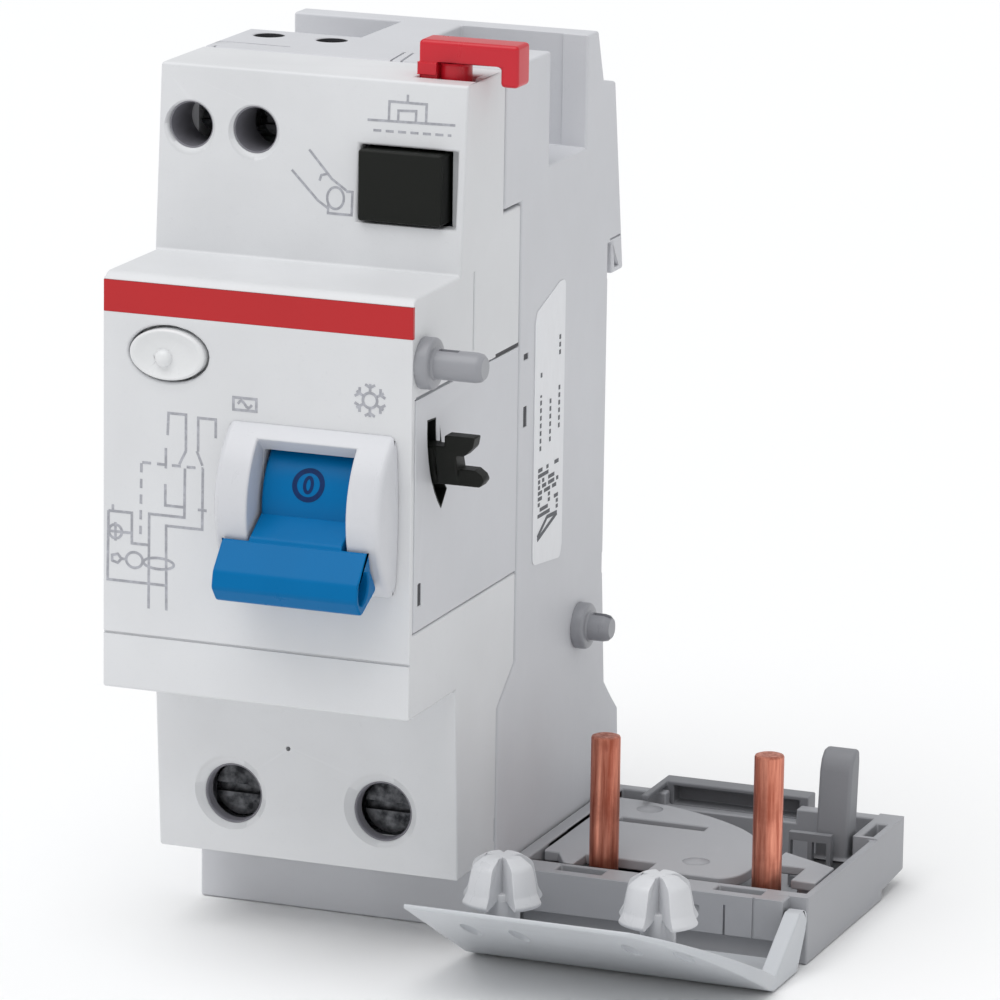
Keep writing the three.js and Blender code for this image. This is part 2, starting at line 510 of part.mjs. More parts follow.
piece('locating_pin_front', locatingPin(PIN_FRONT), plastic(0xb4b6ba));
piece('locating_pin_rear', locatingPin(PIN_REAR), plastic(0xb4b6ba));

function railClip() {
  const plate = box([-3.9, 3.9], [-1.2, 1.2], [-51.6, -40.4]);
  const rails = [box([-3.9, -2.7], [-1.2, 1.2], [-41, -25]), box([2.7, 3.9], [-1.2, 1.2], [-41, -25])];
  const head = box([-3.9, 3.9], [-1.2, 0.9], [-25.4, -19.6]);
  const tooth = slabX([[0.8, -18], [3.6, -20.4], [4.4, -25.4], [1, -25.4]], [-3.9, 3.9]);
  const lift = box([-3.9, 3.9], [0.7, 1.1], [-25.4, -19.6]);
  return joined(plate, ...rails, head, tooth, lift);
}

piece('rail_clip', railClip(), plastic(0x9fa1a4));
piece('rail_clip_spring', tube(coilPoints([0, 0, -32.9], 1.5, 13.4, 7, 'z'), 0.25, 56, 6), steel);

// ---------------------------------------------------------------- tray beside the block

function trayBase() {
  const { left, right, front, back, top, wall, floor } = TRAY;
  const wallFront = front + 2.2;
  const side = [[wallFront, FOOT_Z], [-2.95, FOOT_Z], [-2.95, FOOT_Z + 1], [back, -51.4], [back, top], [wallFront, top]];
  const walls = cut(
    slabX(side, [left, right]),
    box([left + wall, right - 0.9], [front + 4, back - wall], [FOOT_Z + floor, 0]),
  );
  const bar = box([left + 2.2, right - 2.1], [front, front + 4], [FOOT_Z, top]);
  const barFront = box([left - 1, right + 1], [front - 1, front + 1.2], [FOOT_Z - 1, -50]);
  const slots = [-1, 1].map((way) => {
    const x = 35.5 + 9.15 * way;
    return box([x - 2.65, x + 2.65], [front + 1.4, front + 3.3], [-48.4, top + 1]);
  });
  const pinWays = HINGE.pins.map(([from, to]) =>
    rod(HINGE.pin + HINGE.play, [from - 0.5, HINGE.y, HINGE.z], [to + 0.5, HINGE.y, HINGE.z], 16));
  const cornerBlock = box([49.6, right], [-5.5, back], [-50, top + 0.2]);
  const cornerSlot = box([50.5, 51.8], [-4.6, 0.6], [-48, top + 1]);
  const frameWay = box([24.6, 40.2], [2, back + 1], [-47, top + 1]);
  const conductorWays = COPPER.x.map((x, i) =>
    box([left - 1, left + wall + 1], [-20.4 + 6 * i, -15.1 + 6 * i], [-51, -45.8]));
  const posts = COPPER.x.map((x) =>
    box([x - 3.4, x + 3.4], [COPPER.y - 2.6, COPPER.y + 3], [FOOT_Z + floor - 0.2, -50.9]));
  const latchSeat = box([44.6, 50], [-6.4, -0.6], [FOOT_Z + floor - 0.2, -50.2]);
  return cut(joined(walls, bar, cornerBlock, ...posts, latchSeat), barFront, ...slots, ...pinWays, cornerSlot,
    frameWay, ...conductorWays);
}

// The plate that closes the left part of the tray: its rear right-hand side is an arc.
function trayCover() {
  const shape = new THREE.Shape();
  shape.moveTo(19.7, -22.9);
  shape.lineTo(21.4, -22.9);
  shape.lineTo(23.2, -26.2);
  shape.lineTo(24.4, -27.2);
  shape.lineTo(24.4, -22.4);
  shape.lineTo(32.6, -22.4);
  shape.lineTo(32.6, -25.1);
  shape.lineTo(40.6, -25.1);
  shape.quadraticCurveTo(42.9, -24.4, 42.9, -20);
  shape.quadraticCurveTo(42.9, -11, 36.9, -5.9);
  shape.quadraticCurveTo(31, -1.2, 22.5, 0.3);
  shape.lineTo(19.7, 0.4);
  shape.closePath();
  const slot = new THREE.Path();
  slot.moveTo(22.9, -8.6);
  slot.lineTo(33.2, -8.6);
  slot.lineTo(33.2, -6.9);
  slot.lineTo(22.9, -6.9);
  slot.closePath();
  shape.holes.push(slot);
  const plate = new THREE.ExtrudeGeometry(shape, { depth: 1.2, bevelEnabled: false, curveSegments: 8 });
  plate.translate(0, 0, -46.9);
  return solid(plate);
}

// The small plate behind the second copper pin, on a leg that stands on the tray's floor.
function traySidePlate() {
  const outline = [[44, -11.9], [50.9, -15.6], [50.9, -22], [48, -22], [48, -17], [44, -17]];
  const plate = new THREE.ExtrudeGeometry(
    new THREE.Shape(outline.map(([x, y]) => new THREE.Vector2(x, y))),
    { depth: 1, bevelEnabled: false },
  );
  plate.translate(0, 0, -46.9);
  return joined(solid(plate), box([48.4, 50.6], [-21, -16.4], [FOOT_Z + TRAY.floor + 0.02, -46.5]));
}

function trayFrame() {
  const back = box([23.3, 41], [4.8, 7.4], [-49.4, -44.5]);
  const pocket = box([24.9, 39.9], [4, 6.8], [-47, -45]);
  const cheek = box([23.3, 24.1], [-1.8, 5], [-45.1, -44.5]);
  return joined(cut(back, pocket), cheek);
}

function trayGuide() {
  const plate = box([42.9, 47.8], [-7.6, -6.7], [-51.1, -44.9]);
  const openings = [[43.1, 45.1], [45.6, 47.3]].map((x) => box(x, [-8, -6], [-50, -45.8]));
  return cut(plate, ...openings);
}

function trayLatch() {
  const foot = box([45.2, 49.3], [-6.3, -2.4], [-49.9, -48]);
  const stem = slabX([[-6.2, -48.2], [-5.1, -38.2], [-4.6, -36.9], [-3.6, -36], [-2.2, -36], [-2, -37.4],
    [-2.9, -48.2]], [45.4, 49.2]);
  return joined(foot, stem);
}

piece('tray_base', trayBase(), plastic(TRAY_GREY));
piece('tray_cover', trayCover(), plastic(0xa3a4a8));
piece('tray_side_plate', traySidePlate(), plastic(0xa3a4a8));
piece('tray_frame', trayFrame(), plastic(0x929397));
piece('tray_guide', trayGuide(), plastic(0x929397));
piece('tray_latch', trayLatch(), plastic(0x97989c));
COPPER.x.forEach((x, i) => {
  piece(`copper_pin_${i + 1}`, rod(COPPER.radius, [x, COPPER.y, COPPER.foot],
    [x, COPPER.y, COPPER.top], 24), metal(COPPER_RED));
});

// ---------------------------------------------------------------- hinged terminal flap

function terminalFlap() {
  const { tipY, tipZ, tipThick, heelY, heelZ, bendY, bendZ, thick, cheek } = FLAP;
  const span = [TRAY.left + 0.1, TRAY.right];
  const rear = -32.6;
  const plate = slabX([
    [tipY, tipZ], [heelY, heelZ], [bendY, bendZ], [rear, bendZ], [rear, bendZ + 1.3], [bendY + 0.6, bendZ + thick],
    [tipY + 0.1, tipZ + tipThick],
  ], span);
  const cheekTop = HINGE.z + HINGE.knuckle;
  const cheekOutline = [[HINGE.y + 0.1, cheekTop], [HINGE.y - 1.3, cheekTop], [bendY + 0.2, bendZ + 1.6],
    [bendY, bendZ], [rear, bendZ], [HINGE.y + 0.8, HINGE.z - 0.9]];
  const knuckle = (x) => rod(HINGE.knuckle, [x[0], HINGE.y, HINGE.z], [x[1], HINGE.y, HINGE.z], 20);
  const cheeks = [[span[0], span[0] + cheek], [span[1] - cheek, span[1]]].map((x) =>
    slabX(cheekOutline, x).add(knuckle(x)));
  const bore = rod(HINGE.pin + 0.2, [HINGE.pins[0][0] - 0.1, HINGE.y, HINGE.z],
    [HINGE.pins[1][1] + 0.1, HINGE.y, HINGE.z], 16);
  const corner = new THREE.Shape();
  corner.moveTo(TRAY.right + 1, tipY - 1);
  corner.lineTo(TRAY.right - 9.5, tipY - 1);
  corner.lineTo(TRAY.right - 9.5, tipY);
  corner.quadraticCurveTo(TRAY.right - 2.5, tipY + 3.5, TRAY.right, -43.4);
  corner.lineTo(TRAY.right + 1, -43.4);
  corner.closePath();
  const cornerCut = new THREE.ExtrudeGeometry(corner, { depth: 14, bevelEnabled: false, curveSegments: 10 });
  cornerCut.translate(0, 0, -53.5);
  return cut(joined(plate, ...cheeks), bore, solid(cornerCut));
}

// Height of the flap's upper surface at a place along Y.
function flapTop(y) {
  const start = [FLAP.tipY + 0.1, FLAP.tipZ + FLAP.tipThick];
  const end = [FLAP.bendY + 0.6, FLAP.bendZ + FLAP.thick];
  return start[1] + ((end[1] - start[1]) * (y - start[0])) / (end[0] - start[0]);
}

// A sealing plug: a domed cap of four vanes with a flared skirt on a round stem.
function flapPlug(x) {
  const { y, foot, stem, height, skirt } = PLUG;
  const profile = [
    [0, 2.4], [stem, 2.4], [skirt - 0.6, 1.5], [skirt, 1.9], [skirt - 1, 3.2], [skirt - 1.5, 4.8],
    [2.2, height - 0.4], [1, height], [0, height],
  ];
  const dome = turned(profile.map(([r, h]) => [r, h + foot]), [x, y], 24);
  const vane = 0.75;
  const cross = joined(box([-6, 6], [-vane, vane], [foot, foot + 8]), box([-vane, vane], [-6, 6], [foot, foot + 8]));
  const vanes = joined(
    cross.rotate([0, 0, 45]).translate([x, y, 0]),
    rod(stem, [x, y, foot], [x, y, foot + height - 0.8], 20),
  );
  const above = slabX([[-62, flapTop(-62) + GAP], [-44, flapTop(-44) + GAP], [-44, -30], [-62, -30]], [x - 8, x + 8]);
  const stemRod = rod(stem, [x, y, foot - 5], [x, y, foot + 3], 20).intersect(above);
  return joined(dome.intersect(vanes), stemRod);
}

piece('terminal_flap', terminalFlap(), plastic(0xb9babd));
HINGE.pins.forEach(([from, to], i) => {
  piece(`flap_pin_${i + 1}`, rod(HINGE.pin, [from, HINGE.y, HINGE.z], [to, HINGE.y, HINGE.z], 16), steel);
});
PLUG.x.forEach((x, i) => piece(`flap_plug_${i + 1}`, flapPlug(x), plastic(0xbcbdbf)));

export default object;
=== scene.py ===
# Residual current device with its coupling tray: the detailed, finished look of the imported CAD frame.
# Lengths in this file are millimetres in the frame's own axes unless a name says otherwise.
import json
import math
import random

import bmesh
import bpy
from mathutils import Matrix, Vector

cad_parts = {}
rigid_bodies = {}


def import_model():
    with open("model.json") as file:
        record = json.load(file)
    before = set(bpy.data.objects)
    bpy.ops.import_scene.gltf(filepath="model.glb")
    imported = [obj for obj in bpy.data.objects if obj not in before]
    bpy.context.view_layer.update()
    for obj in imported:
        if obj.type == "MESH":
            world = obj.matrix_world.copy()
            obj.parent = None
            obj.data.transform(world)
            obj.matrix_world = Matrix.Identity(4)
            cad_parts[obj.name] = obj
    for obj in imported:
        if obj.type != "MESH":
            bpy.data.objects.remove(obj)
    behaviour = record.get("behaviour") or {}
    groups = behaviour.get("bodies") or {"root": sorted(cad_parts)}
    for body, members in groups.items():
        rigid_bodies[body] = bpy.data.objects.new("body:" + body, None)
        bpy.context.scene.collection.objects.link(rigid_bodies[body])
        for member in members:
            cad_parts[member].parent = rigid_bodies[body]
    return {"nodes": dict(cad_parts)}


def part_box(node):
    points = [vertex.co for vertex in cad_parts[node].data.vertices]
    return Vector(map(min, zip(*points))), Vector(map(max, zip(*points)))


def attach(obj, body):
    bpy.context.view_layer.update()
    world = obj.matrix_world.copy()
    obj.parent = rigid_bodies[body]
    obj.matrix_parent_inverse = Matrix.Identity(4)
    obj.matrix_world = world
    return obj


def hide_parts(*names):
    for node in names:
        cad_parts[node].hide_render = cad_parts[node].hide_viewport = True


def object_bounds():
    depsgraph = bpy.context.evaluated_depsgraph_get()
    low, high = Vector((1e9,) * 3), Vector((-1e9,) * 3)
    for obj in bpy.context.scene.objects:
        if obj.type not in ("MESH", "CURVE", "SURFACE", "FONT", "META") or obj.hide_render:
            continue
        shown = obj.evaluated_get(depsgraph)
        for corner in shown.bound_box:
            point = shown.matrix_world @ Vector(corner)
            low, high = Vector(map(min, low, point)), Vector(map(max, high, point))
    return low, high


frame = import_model()
cad_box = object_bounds()

MM = 0.001
scene = bpy.context.scene

# ---------------------------------------------------------------- lengths shared with the CAD
NOSE_Y = -58.0
NOSE_Z = 22.5
HALF = 17.5
SHOULDER_LOW_Y = -44.7
SHOULDER_END_Y = -43.2
TOP_Z = 42.5
SHOULDER_LEAN = (SHOULDER_END_Y - SHOULDER_LOW_Y) / (TOP_Z - NOSE_Z)
TOGGLE_X, TOGGLE_Y, TOGGLE_Z = 6.4, -51.8, -0.7
DRUM, DRUM_HALF = 7.75, 5.2
BEZEL, BEZEL_HALF, BEZEL_WINDOW = 10.7, 9.9, 5.55
TEST_X, TEST_Z, TEST_A, TEST_B = -10.06, 14.3, 4.3, 2.75
SCREW_X, SCREW_Z, SCREW_HOLE = (-8.9, 8.6), -37.3, 3.3
AUX_X, AUX_Z, AUX_HOLE = (-14.0, -6.6), 36.0, 2.5
PLUG_X, PLUG_Y = (26.25, 43.75), -52.6
FLAP_TIP, FLAP_HEEL = (-60.0, -42.2), (-42.1, -52.0)
FLAP_TOP_TIP, FLAP_TOP_BEND = (-59.9, -41.7), (-39.3, -51.3)
TRAY_FRONT, TRAY_TOP = -31.5, -45.4
OUTSIDE = HALF + 0.5  # where the cutters for the right-hand wall end

# ---------------------------------------------------------------- mesh helpers


def as_object(name, mesh):
    obj = bpy.data.objects.new(name, mesh)
    scene.collection.objects.link(obj)
    return obj


def solid(points, faces):
    """A closed mesh from points in millimetres, with its normals turned outwards."""
    mesh = bpy.data.meshes.new("tool")
    mesh.from_pydata([Vector(p) * MM for p in points], [], faces)
    bm = bmesh.new()
    bm.from_mesh(mesh)
    bmesh.ops.recalc_face_normals(bm, faces=bm.faces)
    bm.to_mesh(mesh)
    bm.free()
    return as_object("tool", mesh)


PLACE = {
    "x": lambda a, b, c: (c, a, b),
    "y": lambda a, b, c: (a, c, b),
    "z": lambda a, b, c: (a, b, c),
}


def prism(outline, axis, low, high):
    """An outline in the plane across an axis, drawn out along it."""
    put, n = PLACE[axis], len(outline)
    points = [put(a, b, low) for a, b in outline] + [put(a, b, high) for a, b in outline]
    faces = [tuple(range(n)), tuple(range(2 * n - 1, n - 1, -1))]
    faces += [(i, (i + 1) % n, n + (i + 1) % n, n + i) for i in range(n)]
    return solid(points, faces)


def block(x, y, z):
    """A box, from its two limits along each axis."""
    return prism([(x[0], y[0]), (x[1], y[0]), (x[1], y[1]), (x[0], y[1])], "z", z[0], z[1])


CORNER_SHARE = 0.48  # the most of a side that one rounded corner takes


def rounded(outline, radius, steps=6):
    """The same outline with its corners rounded; radius is one number or one for each corner."""
    n = len(outline)
    radii = list(radius) if isinstance(radius, (list, tuple)) else [radius] * n
    result = []
    for i, r in enumerate(radii):
        corner = Vector(outline[i])
        if r <= 0:
            result.append(tuple(corner))
            continue
        back = Vector(outline[i - 1]) - corner
        on = Vector(outline[(i + 1) % n]) - corner
        half = back.angle(on) / 2
        reach = min(r / math.tan(half), CORNER_SHARE * back.length, CORNER_SHARE * on.length)
        start = corner + back.normalized() * reach
        end = corner + on.normalized() * reach
        for k in range(steps + 1):
            t = k / steps
            result.append(tuple(start * (1 - t) ** 2 + corner * (2 * t * (1 - t)) + end * t**2))
    return result


def lathe(profile, centre, axis, sides=64):
    """A profile of (radius, height) turned about an axis through centre.
    A profile that ends where it starts makes a ring; any other is capped at its ends."""
    across = {"x": (1, 2), "y": (0, 2), "z": (0, 1)}[axis]
    along = {"x": 0, "y": 1, "z": 2}[axis]
    points, rows = [], []
    is_ring = tuple(profile[0]) == tuple(profile[-1])
    for radius, height in profile[:-1] if is_ring else profile:
        row = []
        for k in range(1 if radius == 0 else sides):
            angle = 2 * math.pi * k / sides
            point = list(centre)
            point[across[0]] += radius * math.cos(angle)
            point[across[1]] += radius * math.sin(angle)
            point[along] += height
            row.append(len(points))
            points.append(point)
        rows.append(row)
    faces = []
    for low, high in zip(rows, rows[1:] + rows[:1] if is_ring else rows[1:]):
        for k in range(sides):
            j = (k + 1) % sides
            if len(low) == 1 and len(high) == 1:
                continue
            if len(low) == 1:
                faces.append((low[0], high[j], high[k]))
            elif len(high) == 1:
                faces.append((low[k], low[j], high[0]))
            else:
                faces.append((low[k], low[j], high[j], high[k]))
    if not is_ring:
        faces += [tuple(row) for row in (rows[0], rows[-1]) if len(row) > 1]
    return solid(points, faces)


def mirrored(half):
    """A whole lathe profile from its upper half, a list of (radius, height) from the axis outwards."""
    return [(radius, -height) for radius, height in half] + list(reversed(half))


def moved(obj, place, *turns):
    """Turns or scales a solid about the origin, the last of turns first, and puts its origin at a place."""
    matrix = Matrix.Translation(Vector(place) * MM)
    for turn in turns:
        matrix = matrix @ turn
    obj.data.transform(matrix)
    return obj


def rod(radius, start, end, sides=48):
    """A round bar between two points."""
    way = Vector(end) - Vector(start)
    turn = Vector((0, 0, 1)).rotation_difference(way).to_matrix().to_4x4()
    return moved(lathe([(radius, 0), (radius, way.length)], (0, 0, 0), "z", sides), start, turn)


def drop(obj):
    mesh = obj.data
    bpy.data.objects.remove(obj)
    bpy.data.meshes.remove(mesh)


def bake(obj):
    """Puts the modifiers' result into the mesh."""
    depsgraph = bpy.context.evaluated_depsgraph_get()
    mesh = bpy.data.meshes.new_from_object(obj.evaluated_get(depsgraph))
    old = obj.data
    obj.modifiers.clear()
    obj.data = mesh
    bpy.data.meshes.remove(old)
    return obj


def combine(obj, operation, tools):
    """Runs one boolean operation with each tool, and removes the tools."""
    for tool in tools:
        modifier = obj.modifiers.new("cut", "BOOLEAN")
        modifier.operation = operation
        modifier.solver = "EXACT"
        modifier.object = tool
    bake(obj)
    for tool in tools:
        drop(tool)
    return obj


def cut(obj, *tools):
    return combine(obj, "DIFFERENCE", tools)


def joined(obj, *tools):
    return combine(obj, "UNION", tools)


def overlap(obj, *tools):
    return combine(obj, "INTERSECT", tools)


def copy_of(node):
    """A piece that starts from a CAD node's shape, with its flat faces made whole again."""
    bm = bmesh.new()
    bm.from_mesh(frame["nodes"][node].data)
    bmesh.ops.remove_doubles(bm, verts=bm.verts, dist=2e-6)
    bmesh.ops.dissolve_limit(
        bm, angle_limit=math.radians(0.5), verts=bm.verts, edges=bm.edges, delimit={"NORMAL"}
    )
    mesh = bpy.data.meshes.new(node)
    bm.to_mesh(mesh)
    bm.free()
    return as_object(node, mesh)


EDGE_SHARE = 0.4  # the most of a face's width that one bevel takes
SAME_WAY = 0.85  # the cosine above which a neighbouring edge carries an edge on


def mark_edges(mesh, width, sharp, keep):
    """Marks the sharp edges, each with as much of the bevel's width as the faces beside it have room for.
    keep(middle) is true for the edges that stay sharp; their middles are given in millimetres."""
    bm = bmesh.new()
    bm.from_mesh(mesh)
    layer = bm.edges.layers.float.new("bevel_weight_edge")
    for edge in bm.edges:
        if len(edge.link_faces) != 2 or edge.calc_face_angle(0) < math.radians(sharp):
            continue
        start = edge.verts[0].co
        if keep and keep((start + edge.verts[1].co) / 2 / MM):
            continue
        way = (edge.verts[1].co - start).normalized()
        room = min(
            max((v.co - start - way * (v.co - start).dot(way)).length for v in face.verts)
            for face in edge.link_faces
        )
        for vert in edge.verts:
            for other in vert.link_edges:
                reach = other.other_vert(vert).co - vert.co
                if other is edge or reach.length == 0:
                    continue
                if abs(reach.normalized().dot(way)) < SAME_WAY:
                    room = min(room, reach.length)
        edge[layer] = min(1.0, EDGE_SHARE * room / (width * MM))
    bm.to_mesh(mesh)
    bm.free()


SMOOTH_BELOW = math.radians(38)


def finished(obj, name, body, material, replaced=(), bevel=0.25, segments=3, sharp=30,
             grooves=(), keep=None):
    """Softens the edges, cuts the fine grooves, shades the piece, and hangs it on its body."""
    obj.name = name
    if bevel:
        mark_edges(obj.data, bevel, sharp, keep)
        edge = obj.modifiers.new("edges", "BEVEL")
        edge.width = bevel * MM
        edge.segments = segments
        edge.limit_method = "WEIGHT"
        edge.use_clamp_overlap = False
        bake(obj)
    if grooves:
        cut(obj, *grooves)
    obj.data.polygons.foreach_set("use_smooth", [True] * len(obj.data.polygons))
    obj.data.set_sharp_from_angle(angle=SMOOTH_BELOW)
    shading = obj.modifiers.new("shading", "WEIGHTED_NORMAL")
    shading.mode = "FACE_AREA"
    shading.weight = 80
    shading.keep_sharp = True
    bake(obj)
    obj.data.name = name
    obj.data.materials.clear()
    obj.data.materials.append(material)
    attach(obj, body)
    if replaced:
        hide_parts(*replaced)
    return obj


MITRE_LIMIT = 0.5  # the smallest cosine that a corner's mitre is widened by
LIFT, LIFT_STEP = 0.02, 0.0003  # half a printed stroke's thickness, and what each next one adds


def ribbon(path, width, face, closed, lift):
    """Points and faces of a flat printed stroke, half sunk in its surface.
    face(a, b) gives a point on the surface and the way out of it."""
    count = len(path)
    points, faces = [], []
    for i in range(count):
        here = Vector(path[i])
        before = Vector(path[i - 1]) if closed or i else here
        after = Vector(path[(i + 1) % count]) if closed or i < count - 1 else here
        onward = (after - here).normalized()
        way = ((here - before).normalized() + onward).normalized()
        side = Vector((-way.y, way.x))
        mitre = max(MITRE_LIMIT, abs(side.dot(Vector((-onward.y, onward.x))))) if after != here else 1
        for s in (-1, 1):
            spot = here + side * (s * width / 2 / mitre)
            at, out = face(spot.x, spot.y)
            points += [Vector(at) + Vector(out) * lift, Vector(at) - Vector(out) * lift]
    for i in range(count if closed else count - 1):
        a, b = 4 * i, 4 * ((i + 1) % count)
        faces += [(a, a + 2, b + 2, b), (a + 1, b + 1, b + 3, a + 3)]
        faces += [(a, b, b + 1, a + 1), (a + 2, a + 3, b + 3, b + 2)]
    if not closed:
        last = 4 * (count - 1)
        faces += [(0, 1, 3, 2), (last, last + 2, last + 3, last + 1)]
    return points, faces


def ring(x, z, a, b, steps=28):
    """The points of an ellipse round (x, z) with the half widths a and b."""
    angles = [2 * math.pi * k / steps for k in range(steps)]
    return [(x + a * math.cos(angle), z + b * math.sin(angle)) for angle in angles]


def dashes(start, end, dash=1.0, gap=0.7):
    """Short strokes along a straight line."""
    start, end = Vector(start), Vector(end)
    way, length = (end - start).normalized(), (end - start).length
    strokes = []
    at = 0.0
    while at < length:
        strokes.append([tuple(start + way * at), tuple(start + way * min(at + dash, length))])
        at += dash + gap
    return strokes


def printed(name, strokes, face, width, body, material):
    """One piece that holds every printed stroke of a face; a stroke is a path, or ("loop", path).
    Each stroke is a little thicker than the one before, so that no two share a surface."""
    points, faces = [], []
    for index, stroke in enumerate(strokes):
        closed = stroke[0] == "loop"
        path = stroke[1] if closed else stroke
        more_points, more_faces = ribbon(path, width, face, closed, LIFT + LIFT_STEP * index)
        faces += [tuple(i + len(points) for i in row) for row in more_faces]
        points += more_points
    return finished(solid(points, faces), name, body, material, bevel=0)


# ---------------------------------------------------------------- materials


def srgb(r, g, b):
    """Linear colour of an 8-bit display colour."""

    def channel(value):
        value /= 255
        return value / 12.92 if value <= 0.04045 else ((value + 0.055) / 1.055) ** 2.4

    return (channel(r), channel(g), channel(b), 1.0)


class Nodes:
    """A small helper that builds one material's node tree."""

    def __init__(self, name):
        self.material = bpy.data.materials.new(name)
        self.material.use_nodes = True
        self.tree = self.material.node_tree
        self.shader = self.tree.nodes["Principled BSDF"]
        self.coords = self.new("ShaderNodeTexCoord").outputs["Object"]

    def new(self, kind, **values):
        node = self.tree.nodes.new(kind)
        for key, value in values.items():
            setattr(node, key, value)
        return node

    def link(self, a, b):
        self.tree.links.new(a, b)

    def scaled(self, x, y, z):
        node = self.new("ShaderNodeMapping")
        node.inputs["Scale"].default_value = (x, y, z)
        self.link(self.coords, node.inputs["Vector"])
        return node.outputs["Vector"]

    def noise(self, scale, detail=3.0, rough=0.55, vector=None, distortion=0.0):
        node = self.new("ShaderNodeTexNoise")
        node.inputs["Scale"].default_value = scale
        node.inputs["Detail"].default_value = detail
        node.inputs["Roughness"].default_value = rough
        node.inputs["Distortion"].default_value = distortion
        self.link(vector or self.coords, node.inputs["Vector"])
        return node.outputs["Fac"]

    def ranged(self, value, low, high, new_low, new_high):
        """Carries a value from one range over to another."""
        node = self.new("ShaderNodeMapRange")
        limits = {"From Min": low, "From Max": high, "To Min": new_low, "To Max": new_high}
        for socket, number in limits.items():
            node.inputs[socket].default_value = number
        self.link(value, node.inputs["Value"])
        return node.outputs["Result"]

    def mixed(self, factor, a, b):
        node = self.new("ShaderNodeMix", data_type="RGBA")
        self.link(factor, node.inputs["Factor"])
        for socket, colour in ((node.inputs["A"], a), (node.inputs["B"], b)):
            if isinstance(colour, tuple):
                socket.default_value = colour
            else:
                self.link(colour, socket)
        return node.outputs["Result"]

    def times(self, value, factor):
        node = self.new("ShaderNodeMath", operation="MULTIPLY")
        self.link(value, node.inputs[0])
        node.inputs[1].default_value = factor
        return node.outputs["Value"]

    def plus(self, a, b):
        node = self.new("ShaderNodeMath", operation="ADD")
        self.link(a, node.inputs[0])
        self.link(b, node.inputs[1])
        return node.outputs["Value"]

    def edges(self):
        """Where the surface turns outwards: the worn, slightly polished edges."""
        point = self.new("ShaderNodeNewGeometry").outputs["Pointiness"]
        return self.ranged(point, 0.52, 0.62, 0.0, 1.0)

    def finish(self, colour, roughness, height, strength, distance_mm):
        """Joins the colour, the roughness and the relief to the shader."""
        bump = self.new("ShaderNodeBump")
        bump.inputs["Strength"].default_value = strength
        bump.inputs["Distance"].default_value = distance_mm * MM
        self.link(height, bump.inputs["Height"])
        self.link(colour, self.shader.inputs["Base Color"])
        self.link(roughness, self.shader.inputs["Roughness"])
        self.link(bump.outputs["Normal"], self.shader.inputs["Normal"])
        return self.material


def shade(colour, factor):
    """The same colour, darker or lighter."""
    return tuple(min(1.0, c * factor) for c in colour[:3]) + (1.0,)


# How fine each noise is, in spots per metre.
SLOW_DRIFT, TARNISH, HANDLING, RIPPLE, PATCHES, SPECKLE, GRAIN = 70, 160, 420, 900, 1800, 2600, 7500


def moulded(name, colour, roughness=0.5, grain=0.25, mottle=0.035, wear=0.12, specular=0.4):
    """Moulded plastic: slow colour drift, a spark-eroded grain, handling marks and polished edges."""
    n = Nodes(name)
    n.shader.inputs["Specular IOR Level"].default_value = specular
    drift = n.noise(SLOW_DRIFT, 4)
    speckle = n.noise(SPECKLE, 2)
    base = n.mixed(n.ranged(drift, 0.3, 0.7, 0, 1), shade(colour, 1 - mottle), shade(colour, 1 + mottle))
    dusted = n.mixed(n.ranged(speckle, 0.62, 0.8, 0, 0.35), base, shade(colour, 0.9))
    worn = n.mixed(n.times(n.edges(), wear), dusted, shade(colour, 1.25))
    marks = n.noise(HANDLING, 5, 0.65, n.scaled(1, 1, 0.25), 0.6)
    rough = n.plus(
        n.ranged(drift, 0.25, 0.75, roughness - 0.05, roughness + 0.05),
        n.ranged(marks, 0.55, 0.8, 0.0, -0.07),
    )
    height = n.plus(n.noise(GRAIN, 2), n.times(n.noise(RIPPLE, 3), 0.8))
    return n.finish(worn, rough, height, grain, 0.03)


def metal(name, colour, dark, roughness=0.3, streaks=(1, 1, 1), grain=0.3, scale=1200):
    """Plated or drawn metal: streaks along one axis, tarnish and fine scratches."""
    n = Nodes(name)
    n.shader.inputs["Metallic"].default_value = 1.0
    drawn = n.noise(scale, 5, 0.6, n.scaled(*streaks))
    tarnish = n.noise(TARNISH, 5, 0.6)
    base = n.mixed(n.ranged(drawn, 0.35, 0.65, 0, 1), dark, colour)
    aged = n.mixed(n.ranged(tarnish, 0.52, 0.72, 0, 0.6), base, shade(dark, 0.8))
    rough = n.ranged(drawn, 0.3, 0.7, roughness + 0.12, roughness - 0.05)
    return n.finish(aged, rough, drawn, grain, 0.04)


def printed_ink(name, colour):
    """Pad-printed ink, a little patchy."""
    n = Nodes(name)
    n.shader.inputs["Specular IOR Level"].default_value = 0.2
    patchy = n.noise(PATCHES, 3)
    base = n.mixed(n.ranged(patchy, 0.4, 0.7, 0, 1), colour, shade(colour, 1.35))
    return n.finish(base, n.ranged(patchy, 0.3, 0.7, 0.5, 0.65), patchy, 0.1, 0.01)


def paper(name, colour):
    """Coated label film with a faint fibre."""
    n = Nodes(name)
    fibre = n.noise(RIPPLE, 6, 0.7, n.scaled(1, 1, 0.4))
    base = n.mixed(n.ranged(fibre, 0.35, 0.65, 0, 1), shade(colour, 0.975), shade(colour, 1.02))
    return n.finish(base, n.ranged(fibre, 0.3, 0.7, 0.32, 0.42), fibre, 0.12, 0.02)


